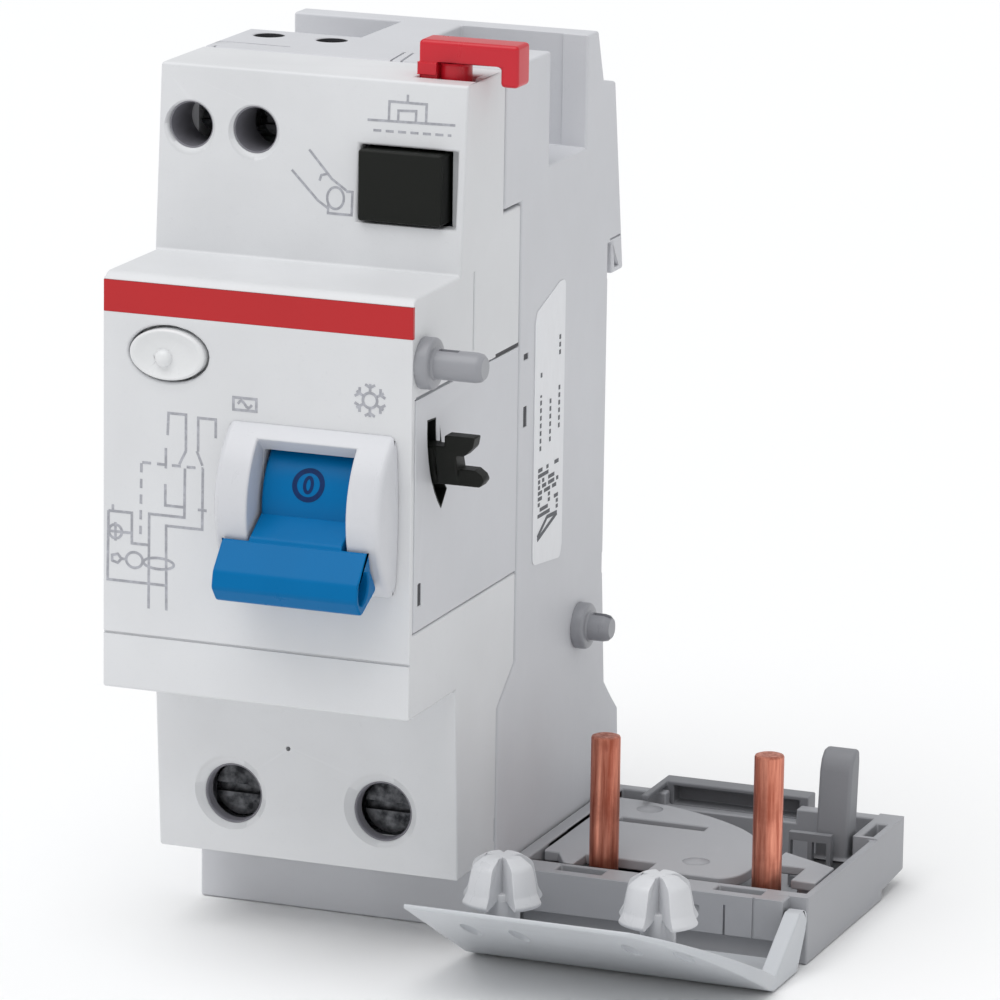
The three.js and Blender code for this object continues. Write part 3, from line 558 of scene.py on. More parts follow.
def wound(name, colour, dark, turns, centre):
    """Enamelled wire laid side by side round a ring: one ridge a turn, with painted shade darkening the
    valleys between turns.
    """
    n = Nodes(name)
    n.shader.inputs["Metallic"].default_value = 0.9
    shift = n.new("ShaderNodeVectorMath", operation="SUBTRACT")
    shift.inputs[1].default_value = tuple(c * MM for c in centre)
    n.link(n.coords, shift.inputs[0])
    parts = n.new("ShaderNodeSeparateXYZ")
    n.link(shift.outputs["Vector"], parts.inputs[0])
    angle = n.new("ShaderNodeMath", operation="ARCTAN2")
    n.link(parts.outputs["Y"], angle.inputs[0])
    n.link(parts.outputs["X"], angle.inputs[1])
    wave = n.new("ShaderNodeMath", operation="SINE")
    n.link(n.times(angle.outputs["Value"], turns), wave.inputs[0])
    ridge = wave.outputs["Value"]
    # Painted shade: the colour runs from dark in the valleys between turns to the wire's own colour on their
    # tops.
    base = n.mixed(n.ranged(ridge, -1, 1, 0, 1), dark, colour)
    return n.finish(base, n.ranged(ridge, -1, 1, 0.5, 0.25), ridge, 0.8, 0.15)


casing = moulded("casing_plastic", srgb(217, 218, 220), 0.46)
# A darker copy of the casing plastic for the rear shell and side cover: mostly painted shade for their shaded
# right-hand faces, with a slight real difference in tone.
casing_tone_and_shade = moulded("casing_plastic_tone_and_shade", srgb(206, 207, 211), 0.5)
bezel_white = moulded("bezel_plastic", srgb(207, 208, 212), 0.3, 0.12)
# Dark grey for the wire sleeves, and for the painted shade that fills the wall's slots.
sleeve_and_slot_shade_grey = moulded("sleeve_and_slot_shade_plastic", srgb(62, 62, 66), 0.6, 0.3)
liner_grey = moulded("liner_plastic", srgb(128, 127, 134), 0.5, 0.3)
button_white = moulded("button_plastic", srgb(224, 225, 226), 0.25, 0.08)
tray_grey = moulded("tray_plastic", srgb(162, 163, 167), 0.45, 0.3)
plate_grey = moulded("tray_plate_plastic", srgb(172, 173, 177), 0.42, 0.3)
frame_grey = moulded("tray_frame_plastic", srgb(128, 129, 133), 0.5, 0.3)
tray_dark = moulded("tray_plastic_dark", srgb(132, 133, 137), 0.5, 0.3)
flap_grey = moulded("flap_plastic", srgb(196, 199, 203), 0.36, 0.15)
plug_grey = moulded("plug_plastic", srgb(206, 207, 210), 0.28, 0.08)
pin_grey = moulded("pin_plastic", srgb(150, 151, 156), 0.3, 0.2)
red_plastic = moulded("red_plastic", srgb(200, 30, 45), 0.32, 0.12, 0.05)
stripe_red = moulded("stripe_red", srgb(186, 26, 32), 0.4, 0.15, 0.03, 0.0)
blue_plastic = moulded("blue_plastic", srgb(0, 104, 162), 0.3, 0.12, 0.05, 0.04, 0.1)
blue_ink = printed_ink("toggle_ink", srgb(6, 40, 86))
black_plastic = moulded("black_plastic", srgb(20, 22, 19), 0.5, 0.3, 0.1, 0.3, 0.2)
ink = printed_ink("grey_ink", srgb(160, 161, 167))
label_film = paper("label_film", srgb(228, 229, 232))
label_ink = printed_ink("label_ink", srgb(96, 98, 102))
inner_plastic = moulded("inner_plastic", srgb(214, 208, 192), 0.55, 0.3)
board_green = moulded("board_laminate", srgb(44, 104, 70), 0.35, 0.4, 0.1)
relay_blue = moulded("relay_case", srgb(43, 74, 122), 0.35)
resistor_tan = moulded("resistor_lacquer", srgb(214, 190, 148), 0.35, 0.1, 0.06)
copper = metal("drawn_copper", srgb(236, 158, 134), srgb(176, 96, 76), 0.34, (1.0, 1.0, 0.06), 0.5, 1600)
copper_flex = metal("copper_conductor", srgb(214, 132, 104), srgb(160, 84, 62), 0.36)
brass = metal("contact_brass", srgb(214, 182, 120), srgb(160, 128, 74), 0.3, (1, 0.1, 1))
steel = metal("plated_steel", srgb(190, 192, 195), srgb(120, 122, 126), 0.28, (0.1, 1, 1))
dark_steel = metal("phosphated_steel", srgb(104, 105, 108), srgb(46, 47, 50), 0.4, (1, 1, 1), 0.5, 900)
ferrite = moulded("core_lacquer", srgb(84, 88, 94), 0.5, 0.4, 0.1)
TOROID_AT, TURNS = (0, -15.4, -14), 96
winding = wound("winding_wire", srgb(196, 116, 66), srgb(96, 48, 24), TURNS, TOROID_AT)

# ---------------------------------------------------------------- casing: front


def shoulder_y(z):
    """The front of the upper shoulder leans back a little towards its top."""
    return SHOULDER_LOW_Y + (z - NOSE_Z) * SHOULDER_LEAN


CHAMFER = 0.4
WAY_PLAY = 0.04  # how much wider the round ways are than the CAD's faceted ones
SCREW_WAY_END, AUX_WAY_END = -41.1, -37.6
STRIPE_BED = (18, 22)
STRIPE_LOW, STRIPE_HIGH, STRIPE_DEPTH = 18.32, 21.68, 0.5
LIP_EDGES = (-16.8, -16.1)
LIP_LINE = ((-OUTSIDE, OUTSIDE), (NOSE_Y - 0.5, NOSE_Y + 0.12), (-16.55, -16.4))
SHOULDER_SEAM = ((17.1, OUTSIDE), (-40.9, -40.55), (13.9, 22.3))
FRONT_LINES = (
    LIP_LINE,
    ((16.6, OUTSIDE), (-34.25, -27.2), (11.72, 12.15)),  # the long slot above the side panel
    ((16.9, OUTSIDE), (-56.9, -44.6), (11.72, 12.0)),  # the line above the panel on the nose
    ((17.0, OUTSIDE), (-32.75, -32.3), (-42.4, -39.7)),  # a bent groove low on the wall: its upright
    ((17.0, OUTSIDE), (-32.6, -28.9), (-40.1, -39.6)),  # and its level part
)
PINHOLE_X, PINHOLE_Z, PINHOLE = -2.0, -31.2, 0.28  # in the lower shoulder, above the screws


def screw_hole(x, z, radius, face, last):
    """A true round cutter for a screw's way, a little wider than the faceted one, with a chamfered mouth."""
    wide = radius + WAY_PLAY
    profile = [(0, face - 1), (wide + CHAMFER + 1, face - 1), (wide, face + CHAMFER), (wide, last), (0, last)]
    return lathe(profile, (x, 0, z), "y", 96)


def stays_sharp(middle):
    """True in the stripe's bed, at the lip line and round the screws' ways, which are cut again later."""
    on_bed = STRIPE_BED[0] < middle.z < STRIPE_BED[1]
    on_lip = LIP_EDGES[0] < middle.z < LIP_EDGES[1]
    if middle.y < NOSE_Y + 0.6 and (on_bed or on_lip):
        return True
    ways = [(x, SCREW_Z, SCREW_HOLE) for x in SCREW_X] + [(x, AUX_Z, AUX_HOLE) for x in AUX_X]
    return any(math.hypot(middle.x - x, middle.z - z) < radius + 0.3 for x, z, radius in ways)


front_cutters = [screw_hole(x, SCREW_Z, SCREW_HOLE, SHOULDER_END_Y, SCREW_WAY_END) for x in SCREW_X]
front_cutters += [screw_hole(x, AUX_Z, AUX_HOLE, shoulder_y(AUX_Z), AUX_WAY_END) for x in AUX_X]
front_cutters += [block(*line) for line in FRONT_LINES]
front_cutters.append(rod(PINHOLE, (PINHOLE_X, -45, PINHOLE_Z), (PINHOLE_X, -43.0, PINHOLE_Z), 20))
front = cut(copy_of("front_housing"), block(*SHOULDER_SEAM))
finished(front, "front_shell", "casing", casing, ("front_housing",), bevel=0.3,
         keep=stays_sharp, grooves=front_cutters)

STRIPE_BACK = NOSE_Y + STRIPE_DEPTH
stripe_section = [(-HALF, NOSE_Y), (HALF, NOSE_Y), (HALF, STRIPE_BACK), (-HALF, STRIPE_BACK)]
stripe = prism(rounded(stripe_section, [0.12, 0.12, 0, 0]), "z", STRIPE_LOW, STRIPE_HIGH)
finished(stripe, "red_stripe", "casing", stripe_red, ("front_stripe",), bevel=0)

RIB_FOOT, RIB_CREST = 0.12, 0.22  # how far a liner's rings stand in from the way's wall


def screw_liner(name, x, z, radius, first, last, ribs):
    """The grey sleeve inside a screw's way, with shallow rings."""
    inner = [(radius, first)]
    for k in range(ribs):
        low = first + (last - first) * k / ribs
        high = first + (last - first) * (k + 1) / ribs
        inner.append((radius - RIB_FOOT, low + 0.05))
        inner.append((radius - RIB_CREST, (low + high) / 2))
        inner.append((radius - RIB_FOOT, high - 0.05))
    inner += [(radius, last), (radius, first)]
    finished(lathe(inner, (x, 0, z), "y", 72), name, "casing", liner_grey, bevel=0)


for index, x in enumerate(SCREW_X, 1):
    first = SHOULDER_END_Y + CHAMFER
    screw_liner(f"screw_liner_{index}", x, SCREW_Z, SCREW_HOLE, first, SCREW_WAY_END - 0.05, 3)
for index, x in enumerate(AUX_X, 1):
    first = shoulder_y(AUX_Z) + CHAMFER + 0.1
    screw_liner(f"aux_liner_{index}", x, AUX_Z, AUX_HOLE, first, AUX_WAY_END - 0.05, 1)

# ---------------------------------------------------------------- casing: rear

# Fine lines in the top face, each from one (x, y) to another.
TOP_MARKS = [
    [(-16.2, -36.8), (-16.3, -31.5)],
    [(-13.4, -37.2), (-13.2, -32.3)],
    [(-10.7, -37.3), (-10.3, -32.6)],
    [(-7.8, -37.6), (-7.6, -33.3)],
    [(-18, -28.5), (-8.8, -28.8)],
    [(4.8, -37.6), (3.6, -26.5)],
    [(5.9, -35.7), (4.6, -26.5)],
    [(-2.2, -35.6), (-1.1, -35.6)],
]
REAR_SLOTS = (
    ((16.3, OUTSIDE), (-25.7, -24.6), (2.3, 4.6)),
    ((16.3, OUTSIDE), (-25.8, -24.4), (9.75, 10.45)),
    ((17.25, OUTSIDE), (0.6, 4.3), (18.2, 18.45)),
)
WEDGE = [(1.6, 17.6), (2.1, 14.9), (3.5, 14.9)]  # a small wedge in the wall beside the rail hook
PANEL_SLOT = ((16.7, OUTSIDE), (-55.9, -54.9), (-10.6, -8.2))
SLOT_FACE = HALF - 0.1
# Dark blocks a little below the wall's face in its four slots: painted shade standing in for the dark depth
# of the slots.
SLOT_SHADE_FILLS = (
    ((16.4, SLOT_FACE), (-25.68, -24.62), (2.32, 4.58)),
    ((16.4, SLOT_FACE), (-25.78, -24.42), (9.77, 10.43)),
    ((16.75, SLOT_FACE), (-34.2, -27.25), (11.74, 12.13)),
    ((16.8, SLOT_FACE), (-55.88, -54.92), (-10.58, -8.22)),
)


def shallow_line(path, width, depth):
    """A cutter for a shallow groove in the top face, along a short straight path."""
    start, end = (Vector(point) for point in path)
    side = (end - start).normalized().orthogonal() * width / 2
    outline = [tuple(point) for point in (start - side, end - side, end + side, start + side)]
    return prism(outline, "z", TOP_Z - depth, TOP_Z + 1)


rear_cutters = [block(*slot) for slot in REAR_SLOTS]
rear_cutters.append(prism(WEDGE, "x", 16.9, OUTSIDE))
rear_cutters += [shallow_line(mark, 0.3, 0.3) for mark in TOP_MARKS]
finished(copy_of("rear_housing"), "rear_shell", "casing", casing_tone_and_shade, ("rear_housing",), bevel=0.3,
         grooves=rear_cutters)
finished(copy_of("side_panel"), "side_cover", "casing", casing_tone_and_shade, ("side_panel",), bevel=0.15,
         grooves=[block(*PANEL_SLOT)])
# Painted shade: dark blocks fill the wall's slots so that they read dark.
slot_shade_fill = joined(*[block(*back) for back in SLOT_SHADE_FILLS])
finished(slot_shade_fill, "slot_shade_fill", "casing", sleeve_and_slot_shade_grey, bevel=0)

WIRE_Y = -22.4
SLEEVE_OUTER, SLEEVE_INNER, SLEEVE_FOOT, SLEEVE_TOP = 1.72, 1.6, 38.2, TOP_Z - 0.15
SLEEVE = [
    (SLEEVE_OUTER, SLEEVE_FOOT), (SLEEVE_OUTER, SLEEVE_TOP), (SLEEVE_INNER, SLEEVE_TOP),
    (SLEEVE_INNER, SLEEVE_FOOT), (SLEEVE_OUTER, SLEEVE_FOOT),
]
for index, x in enumerate(AUX_X, 1):
    sleeve = lathe(SLEEVE, (x, WIRE_Y, 0), "z", 48)
    finished(sleeve, f"wire_sleeve_{index}", "casing", sleeve_and_slot_shade_grey, bevel=0)

# ---------------------------------------------------------------- bezel round the toggle

TOGGLE_AT = (TOGGLE_X, TOGGLE_Y, TOGGLE_Z)
BEZEL_EDGE = [(0, BEZEL_HALF), (4.5, BEZEL_HALF), (9.4, 9.6), (10.15, 9.42), (10.5, 9.2), (BEZEL, 8.75)]
WINDOW_OPENS = 43.125  # degrees each way; the edge falls in the middle of a facet of the bezel
WINDOW_REACH, WINDOW_STEPS = 14, 16
DRUM_PLAY = 0.4

bulge = lathe(mirrored(BEZEL_EDGE), TOGGLE_AT, "x", 96)
in_front_of_nose = block((-10, 20), (-70, NOSE_Y - 0.04), (-20, 20))
overlap(bulge, in_front_of_nose)
fan = [(TOGGLE_Y, TOGGLE_Z)]
for step in range(WINDOW_STEPS + 1):
    angle = math.radians(WINDOW_OPENS * (1 - 2 * step / WINDOW_STEPS))
    fan.append((TOGGLE_Y - WINDOW_REACH * math.cos(angle), TOGGLE_Z + WINDOW_REACH * math.sin(angle)))
window_from, window_to = TOGGLE_X - BEZEL_WINDOW, TOGGLE_X + BEZEL_WINDOW
drum_room = rod(DRUM + DRUM_PLAY, (window_from, TOGGLE_Y, TOGGLE_Z), (window_to, TOGGLE_Y, TOGGLE_Z), 96)
cut(bulge, drum_room, prism(fan, "x", window_from, window_to))
finished(bulge, "toggle_hood", "casing", bezel_white, ("toggle_bezel",), bevel=0.28)

# ---------------------------------------------------------------- toggle

DRUM_EDGE = [(0, DRUM_HALF), (DRUM - 0.25, DRUM_HALF), (DRUM, DRUM_HALF - 0.25)]
# The handle's web and its wider bar, as (y, z) outlines with the handle off.
WEB = [(-58.5, -1.3), (-59.5, -1.35), (-62.4, -3.25), (-64, -7), (-60.6, -8), (-56.5, -4.8)]
BAR = [(-62.4, -3.25), (-65.2, -6.5), (-65.6, -8.3), (-64.2, -10.1), (-60, -8), (-61.7, -5.7)]
BAR_HALF = 8.2
HOLLOW_AT, HOLLOW_DEPTH = (TOGGLE_X + 5.4, -63.6, -7.2), 4.6
AXLE_HOLE = 1.2

drum = lathe(mirrored(DRUM_EDGE), TOGGLE_AT, "x", 120)
web = prism(rounded(WEB, [0, 0.3, 0, 0, 0, 0]), "x", TOGGLE_X - DRUM_HALF, TOGGLE_X + DRUM_HALF)
bar = prism(rounded(BAR, [0.5, 1.3, 0.8, 0.8, 0.6, 0.8]), "x", TOGGLE_X - BAR_HALF, TOGGLE_X + BAR_HALF)
hollow = moved(
    lathe([(0, 0), (1, 0), (1, HOLLOW_DEPTH), (0, HOLLOW_DEPTH)], (0, 0, 0), "x", 40),
    HOLLOW_AT, Matrix.Rotation(math.radians(-25), 4, "X"), Matrix.Diagonal((1, 1.2, 1.8, 1)))
joined(drum, web, bar)
cut(drum, hollow, rod(AXLE_HOLE, (0, TOGGLE_Y, TOGGLE_Z), (13, TOGGLE_Y, TOGGLE_Z), 32))
finished(drum, "toggle_handle", "toggle", blue_plastic, ("toggle",))


def on_drum(x, height):
    """A point on the drum's skin, at a height measured along the skin from its foremost line."""
    angle = height / DRUM
    out = (0, -math.cos(angle), math.sin(angle))
    return (x, TOGGLE_Y + DRUM * out[1], TOGGLE_Z + DRUM * out[2]), out


ZERO_HEIGHT = 2.85
circle = [("loop", ring(TOGGLE_X, ZERO_HEIGHT, 1.55, 1.55, 36))]
nought = [("loop", ring(TOGGLE_X, ZERO_HEIGHT, 0.42, 0.8, 24))]
printed("toggle_zero", circle, on_drum, 0.55, "toggle", blue_ink)
printed("toggle_nought", nought, on_drum, 0.36, "toggle", blue_ink)

# ---------------------------------------------------------------- buttons and clip

# The oval cap's section, its radii as shares of the cap's half widths.
CAP = [
    (0, -58.0), (0.45, -58.02), (0.7, -58.15), (0.84, -58.42),
    (0.92, -58.5), (0.985, -58.4), (1.0, -58.15), (1.0, -55.4),
]
NUB = [(0, -58.78), (0.45, -58.72), (0.8, -58.5), (0.95, -58.2), (1.0, -57.6)]
FLANGE = [(1, -55.9), (1, -55.0)]
FLANGE_A, FLANGE_B = 5.3, 3.65
TEST_STEM = 1.5

test_at = (TEST_X, 0, TEST_Z)
cap = moved(lathe(CAP, (0, 0, 0), "y", 64), test_at, Matrix.Diagonal((TEST_A, 1, TEST_B, 1)))
nub = lathe(NUB, (TEST_X - 0.5, 0, TEST_Z - 0.45), "y", 32)
flange = moved(lathe(FLANGE, (0, 0, 0), "y", 48), test_at, Matrix.Diagonal((FLANGE_A, 1, FLANGE_B, 1)))
joined(cap, nub, flange, rod(TEST_STEM, (TEST_X, -55.2, TEST_Z), (TEST_X, -51.6, TEST_Z), 24))
finished(cap, "test_cap", "test_button", button_white, ("test_button",),
         bevel=0.08, segments=2, sharp=50)

finished(copy_of("lock_button"), "lock_cap", "lock_button", black_plastic, ("lock_button",),
         bevel=0.3)
finished(copy_of("locking_clip"), "red_clip", "locking_clip", red_plastic, ("locking_clip",),
         bevel=0.45)

# ---------------------------------------------------------------- side: lever, pins, label

LEVER_Y, LEVER_Z = -41.0, 8.0
SLOT_ARC = (10.2, 12.6, -4, 48)  # inner and outer radius, first and last angle in degrees
OPEN_ARC = (10.33, 12.47, -3.4, 47.4)  # what the painted-shade sheet leaves open


def lever_slot(inner, outer, first, last):
    """The outline of the lever's curved slot: an arc round the lever's axis, its angles in degrees."""
    angles = [math.radians(first + (last - first) * k / 16) for k in range(17)]
    ends = [(outer, a) for a in angles] + [(inner, a) for a in reversed(angles)]
    return [(LEVER_Y - r * math.cos(a), LEVER_Z - r * math.sin(a)) for r, a in ends]


finished(copy_of("trip_lever"), "trip_fork", "trip_lever", black_plastic, ("trip_lever",), bevel=0.2)
# Painted shade: a thin black sheet lines the walls of the lever's slot so that the slot reads dark.
slot_shade_sheet = prism(lever_slot(*SLOT_ARC), "x", 15.95, HALF - 0.02)
cut(slot_shade_sheet, prism(lever_slot(*OPEN_ARC), "x", 15, OUTSIDE))
finished(slot_shade_sheet, "slot_painted_shade", "casing", black_plastic, bevel=0)

# Each peg: its name, its CAD node, its radius, and its collar's radius and outer end.
PEGS = (
    ("front_peg", "locating_pin_front", 1.6, 2.75, 18.95),
    ("rear_peg", "locating_pin_rear", 1.55, 2.6, 18.9),
)
for name, node, radius, collar, collar_end in PEGS:
    low, high = (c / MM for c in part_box(node))
    y, z = (low.y + high.y) / 2, (low.z + high.z) / 2
    collar_start = HALF + 0.02
    profile = [
        (0, low.x), (radius, low.x), (radius, collar_start), (collar, collar_start),
        (collar, collar_end - 0.3), (collar - 0.1, collar_end - 0.1), (collar - 0.3, collar_end),
        (radius + 0.2, collar_end), (radius, collar_end + 0.2), (radius, high.x - 0.9),
        (radius - 0.12, high.x - 0.35), (radius - 0.45, high.x), (0, high.x),
    ]
    peg = lathe(profile, (0, y, z), "x", 64)
    top = z + radius
    cut(peg, block((collar_end + 0.4, collar_end + 2.6), (y - 0.5, y + 0.3), (top - 0.45, top + 1)))
    finished(peg, name, "casing", pin_grey, (node,), bevel=0)

LABEL_FACE = HALF + 0.11
# The label's (y, z) outline.
LABEL = [
    (-22.4, -13.8), (-14.0, -14.7), (-13.45, -13.2), (-13.45, 16.55),
    (-15.2, 16.55), (-22.0, 14.4), (-22.55, 13.2),
]
label = prism(rounded(LABEL, [1.0, 0.8, 0.5, 1.0, 0.8, 0.8, 0.8]), "x", HALF + 0.01, LABEL_FACE)
finished(label, "side_sticker", "casing", label_film, ("side_label",), bevel=0)


def on_side(y, z):
    return (LABEL_FACE, y, z), (1, 0, 0)


# The label's marks encode nothing: a patch of random squares, columns of dashes and three slanted lines.
PATCH_AT, PATCH_ROWS, PATCH_COLUMNS = (-21.1, -8.6), 9, 10
PITCH_Y, PITCH_Z, MARK_WIDTH, FILLED = 0.62, 0.64, 0.6, 0.52
TEXT_COLUMNS = (
    (-20.6, -1.3, 4.9),
    (-20.6, 6.9, 7.4),
    (-17.7, -0.8, 4.0),
    (-15.0, 0.2, 5.2),
    (-15.0, 8.4, 10.6),
)
SLANTS = [[(-21.1, -11.2), (-15.2, -9.4)], [(-21.1, -10.9), (-18.2, -9.2)], [(-18.2, -9.2), (-15.2, -9.3)]]
random.seed(4)
marks = []
for row in range(PATCH_ROWS):
    for column in range(PATCH_COLUMNS):
        if random.random() < FILLED:
            y = PATCH_AT[0] + PITCH_Y * column
            z = PATCH_AT[1] + PITCH_Z * row
            marks.append([(y, z), (y + MARK_WIDTH, z)])
for y, first, last in TEXT_COLUMNS:
    marks += dashes((y, first), (y, last), 0.5, 0.35)
marks += SLANTS
printed("sticker_marks", marks, on_side, 0.42, "casing", label_ink)

# ---------------------------------------------------------------- printed marks on the front


def on_nose(x, z):
    return (x, NOSE_Y, z), (0, -1, 0)


def on_shoulder(x, z):
    return (x, shoulder_y(z), z), (0, -1, SHOULDER_LEAN)


# The wiring diagram, as (x, z) strokes on the nose.
diagram = [
    [(-10.1, 5.6), (-10.0, 8.0), (-8.0, 8.0), (-8.0, 4.1)],
    [(-6.6, 4.2), (-6.6, 7.8), (-4.6, 7.8), (-4.6, 5.8)],
    [(-8.75, 2.6), (-8.0, 4.1)],
    [(-6.75, 4.2), (-6.1, 2.7)],
    [(-10.3, 4.2), (-10.3, 2.0)],
    [(-10.35, 0.3), (-10.35, -2.0), (-8.05, -2.0)],
    [(-8.1, 2.2), (-8.15, -3.1), (-12.2, -3.1), (-12.25, -13.4)],
    [(-6.05, 2.4), (-6.1, -4.2), (-10.25, -4.2), (-10.2, -13.4)],
    [(-16.9, -3.2), (-14.2, -3.2), (-14.2, -6.5), (-12.2, -6.5)],
    [(-16.9, -3.2), (-17.0, -10.7), (-10.2, -10.7)],
    [(-17.0, -5.4), (-14.3, -5.4)],
    [(-16.1, -4.4), (-16.1, -6.4)],
    ("loop", ring(-16.1, -5.4, 0.75, 0.75)),
    ("loop", ring(-11.1, -8.4, 1.75, 0.6)),
    ("loop", ring(-13.9, -8.3, 0.95, 0.85)),
    ("loop", ring(-16.0, -8.3, 0.6, 0.5, 5)),
    [(-15.4, -8.3), (-14.85, -8.3)],
    [(-16.4, -2.5), (-16.4, -3.2)],
    [(-6.6, -2.1), (-5.6, -2.1)],
]
diagram += dashes((-13.0, 2.4), (-6.0, 2.4)) + dashes((-13.1, 2.3), (-13.2, -5.4))
sign_frame = [(-2.6, 9.1), (0.0, 9.1), (0.0, 10.4), (-2.6, 10.4)]
sign_wave = [(-2.1 + 0.2 * k, 9.75 + 0.35 * math.sin(k * math.pi / 4)) for k in range(9)]
diagram += [("loop", sign_frame), sign_wave]

FLAKE_X, FLAKE_Z = 12.8, 11.5
ARM_ROOT, ARM_FORK, ARM_TIP, FORK_TURN = 0.95, 1.35, 1.75, 0.32


def flake_point(radius, angle):
    """A point of the snowflake, from its centre."""
    return FLAKE_X + radius * math.cos(angle), FLAKE_Z + radius * math.sin(angle)


for k in range(6):
    angle = math.radians(60 * k + 30)
    diagram.append([flake_point(ARM_ROOT, angle), flake_point(ARM_TIP, angle)])
    for side in (-FORK_TURN, FORK_TURN):
        diagram.append([flake_point(ARM_FORK, angle), flake_point(ARM_TIP, angle + side)])
diagram.append(("loop", ring(FLAKE_X, FLAKE_Z, 0.8, 0.8, 24)))
printed("front_print", diagram, on_nose, 0.28, "casing", ink)

# The installation pictograms, as (x, z) strokes on the upper shoulder.
pictogram = [
    [(-0.2, 34.5), (2.5, 31.6), (4.2, 30.5)],
    [(-2.1, 32.2), (1.0, 29.2), (2.3, 28.4)],
    [(2.5, 31.6), (2.0, 32.1), (1.3, 31.9), (1.1, 31.3)],
    [(2.2, 28.9), (2.2, 27.95), (4.9, 27.95), (4.9, 30.4), (4.2, 30.4)],
    ("loop", ring(3.0, 29.6, 0.95, 1.15)),
    [(8.7, 38.2), (8.7, 40.25), (12.9, 40.25), (12.9, 38.35)],
    [(9.75, 38.3), (9.75, 39.35), (11.75, 39.45), (11.75, 38.35)],
    [(10.75, 40.3), (10.75, 41.1)],
    [(6.3, 38.15), (16.2, 38.3)],
]
pictogram += dashes((7.0, 37.1), (15.8, 37.2), 0.9, 0.5)
printed("shoulder_print", pictogram, on_shoulder, 0.26, "casing", ink)

# ---------------------------------------------------------------- tray

# A shallow mark in the tray's front, as (x, z) corners.
TRAY_NOTCH = [(39.2, -48.2), (40.6, -48.2), (40.9, -47.0), (38.9, -47.0)]
TUB_SEAMS = ((46.9, 47.15, TRAY_TOP + 1), (43.6, 43.85, TRAY_TOP - 1.2))  # from x, to x, upper end
PLATE_MARKS = ((24.8, -2.9), (36.5, -20.2))
PLATE_MARK_Z = -45.7

tub = cut(copy_of("tray_base"), prism(rounded(TRAY_NOTCH, 0.3), "y", TRAY_FRONT - 1, TRAY_FRONT + 0.3))
seams = [block((x0, x1), (TRAY_FRONT - 1, TRAY_FRONT + 0.15), (-50, top)) for x0, x1, top in TUB_SEAMS]
finished(tub, "tray_tub", "casing", tray_grey, ("tray_base",), bevel=0.25, grooves=seams)
round_marks = [
    lathe([(0, -0.2), (1.5, -0.2), (1.7, 1), (0, 1)], (x, y, PLATE_MARK_Z), "z", 48) for x, y in PLATE_MARKS]
finished(copy_of("tray_cover"), "tray_plate", "casing", plate_grey, ("tray_cover",), bevel=0.2,
         grooves=round_marks)
finished(copy_of("tray_side_plate"), "tray_shelf", "casing", plate_grey, ("tray_side_plate",),
         bevel=0.18)
finished(copy_of("tray_frame"), "tray_catch", "casing", frame_grey, ("tray_frame",), bevel=0.18)

GUIDE = ((42.9, 47.8), (-7.6, -6.7), (-51.1, -44.9))
GUIDE_OPENINGS = (
    ((43.1, 45.1), (-8, -6), (-50, -45.8)),
    ((45.6, 47.3), (-8, -6), (-50, -45.8)),
)
guide = cut(block(*GUIDE), *[block(*opening) for opening in GUIDE_OPENINGS])
finished(guide, "tray_slide", "casing", frame_grey, ("tray_guide",), bevel=0)
finished(copy_of("tray_latch"), "tray_hook", "tray_latch", tray_dark, ("tray_latch",), bevel=0.45)

STUD = 1.62
for index in (1, 2):
    low, high = (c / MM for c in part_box(f"copper_pin_{index}"))
    profile = [
        (0, low.z), (STUD - 0.1, low.z), (STUD, low.z + 0.1), (STUD, high.z - 0.28),
        (STUD - 0.08, high.z - 0.1), (STUD - 0.32, high.z - 0.02), (STUD - 0.5, high.z), (0, high.z - 0.12),
    ]
    stud = lathe(profile, ((low.x + high.x) / 2, (low.y + high.y) / 2, 0), "z", 64)
    finished(stud, f"copper_stud_{index}", "casing", copper, (f"copper_pin_{index}",), bevel=0)

# ---------------------------------------------------------------- flap and its plugs


def on_flap_front(y):
    """Height of the flap's front slope."""
    along = (y - FLAP_TIP[0]) / (FLAP_HEEL[0] - FLAP_TIP[0])
    return FLAP_TIP[1] + along * (FLAP_HEEL[1] - FLAP_TIP[1])


def above_flap(y):
    """Height of the flap's upper face, with the play that a plug's stem keeps to it."""
    along = (y - FLAP_TOP_TIP[0]) / (FLAP_TOP_BEND[0] - FLAP_TOP_TIP[0])
    return FLAP_TOP_TIP[1] + along * (FLAP_TOP_BEND[1] - FLAP_TOP_TIP[1]) + STEM_PLAY


STEM, STEM_PLAY = 1.9, 0.3
DIMPLE_X, DIMPLE_Y = (23.1, 28.6, 41.2, 47.0), -53.6
DIMPLE_SIZE = (0.9, 2.7, 0.7, 1)
slope = math.atan2(FLAP_HEEL[1] - FLAP_TIP[1], FLAP_HEEL[0] - FLAP_TIP[0])
arc = [math.radians(degrees) for degrees in range(-75, 90, 15)]
ball = [(0, -1)] + [(math.cos(angle), math.sin(angle)) for angle in arc] + [(0, 1)]
dimples = [
    moved(lathe(ball, (0, 0, 0), "z", 32), (x, DIMPLE_Y, on_flap_front(DIMPLE_Y)),
          Matrix.Rotation(slope, 4, "X"), Matrix.Diagonal(DIMPLE_SIZE))
    for x in DIMPLE_X]
finished(copy_of("terminal_flap"), "flap_door", "terminal_flap", flap_grey, ("terminal_flap",),
         bevel=0.25, grooves=dimples)

# A plug is a bell with four V-shaped flutes, on a round stem that ends on the flap.
BELL = [
    (0, -37.3), (1.9, -37.32), (3.3, -38.2), (3.7, -39.9), (3.95, -41.1),
    (4.5, -42.1), (4.25, -42.55), (2.9, -42.2), (1.7, -41.7), (0, -41.7),
]
BELL_ROUNDING = [0, 1.0, 1.2, 1.5, 1.2, 0.35, 0.4, 0.6, 0.4, 0]
FLUTE = [(1.0, 0), (5.6, -2.2), (5.6, 2.2)]
FLUTE_ANGLE = -71  # degrees, of the first flute about the plug's axis

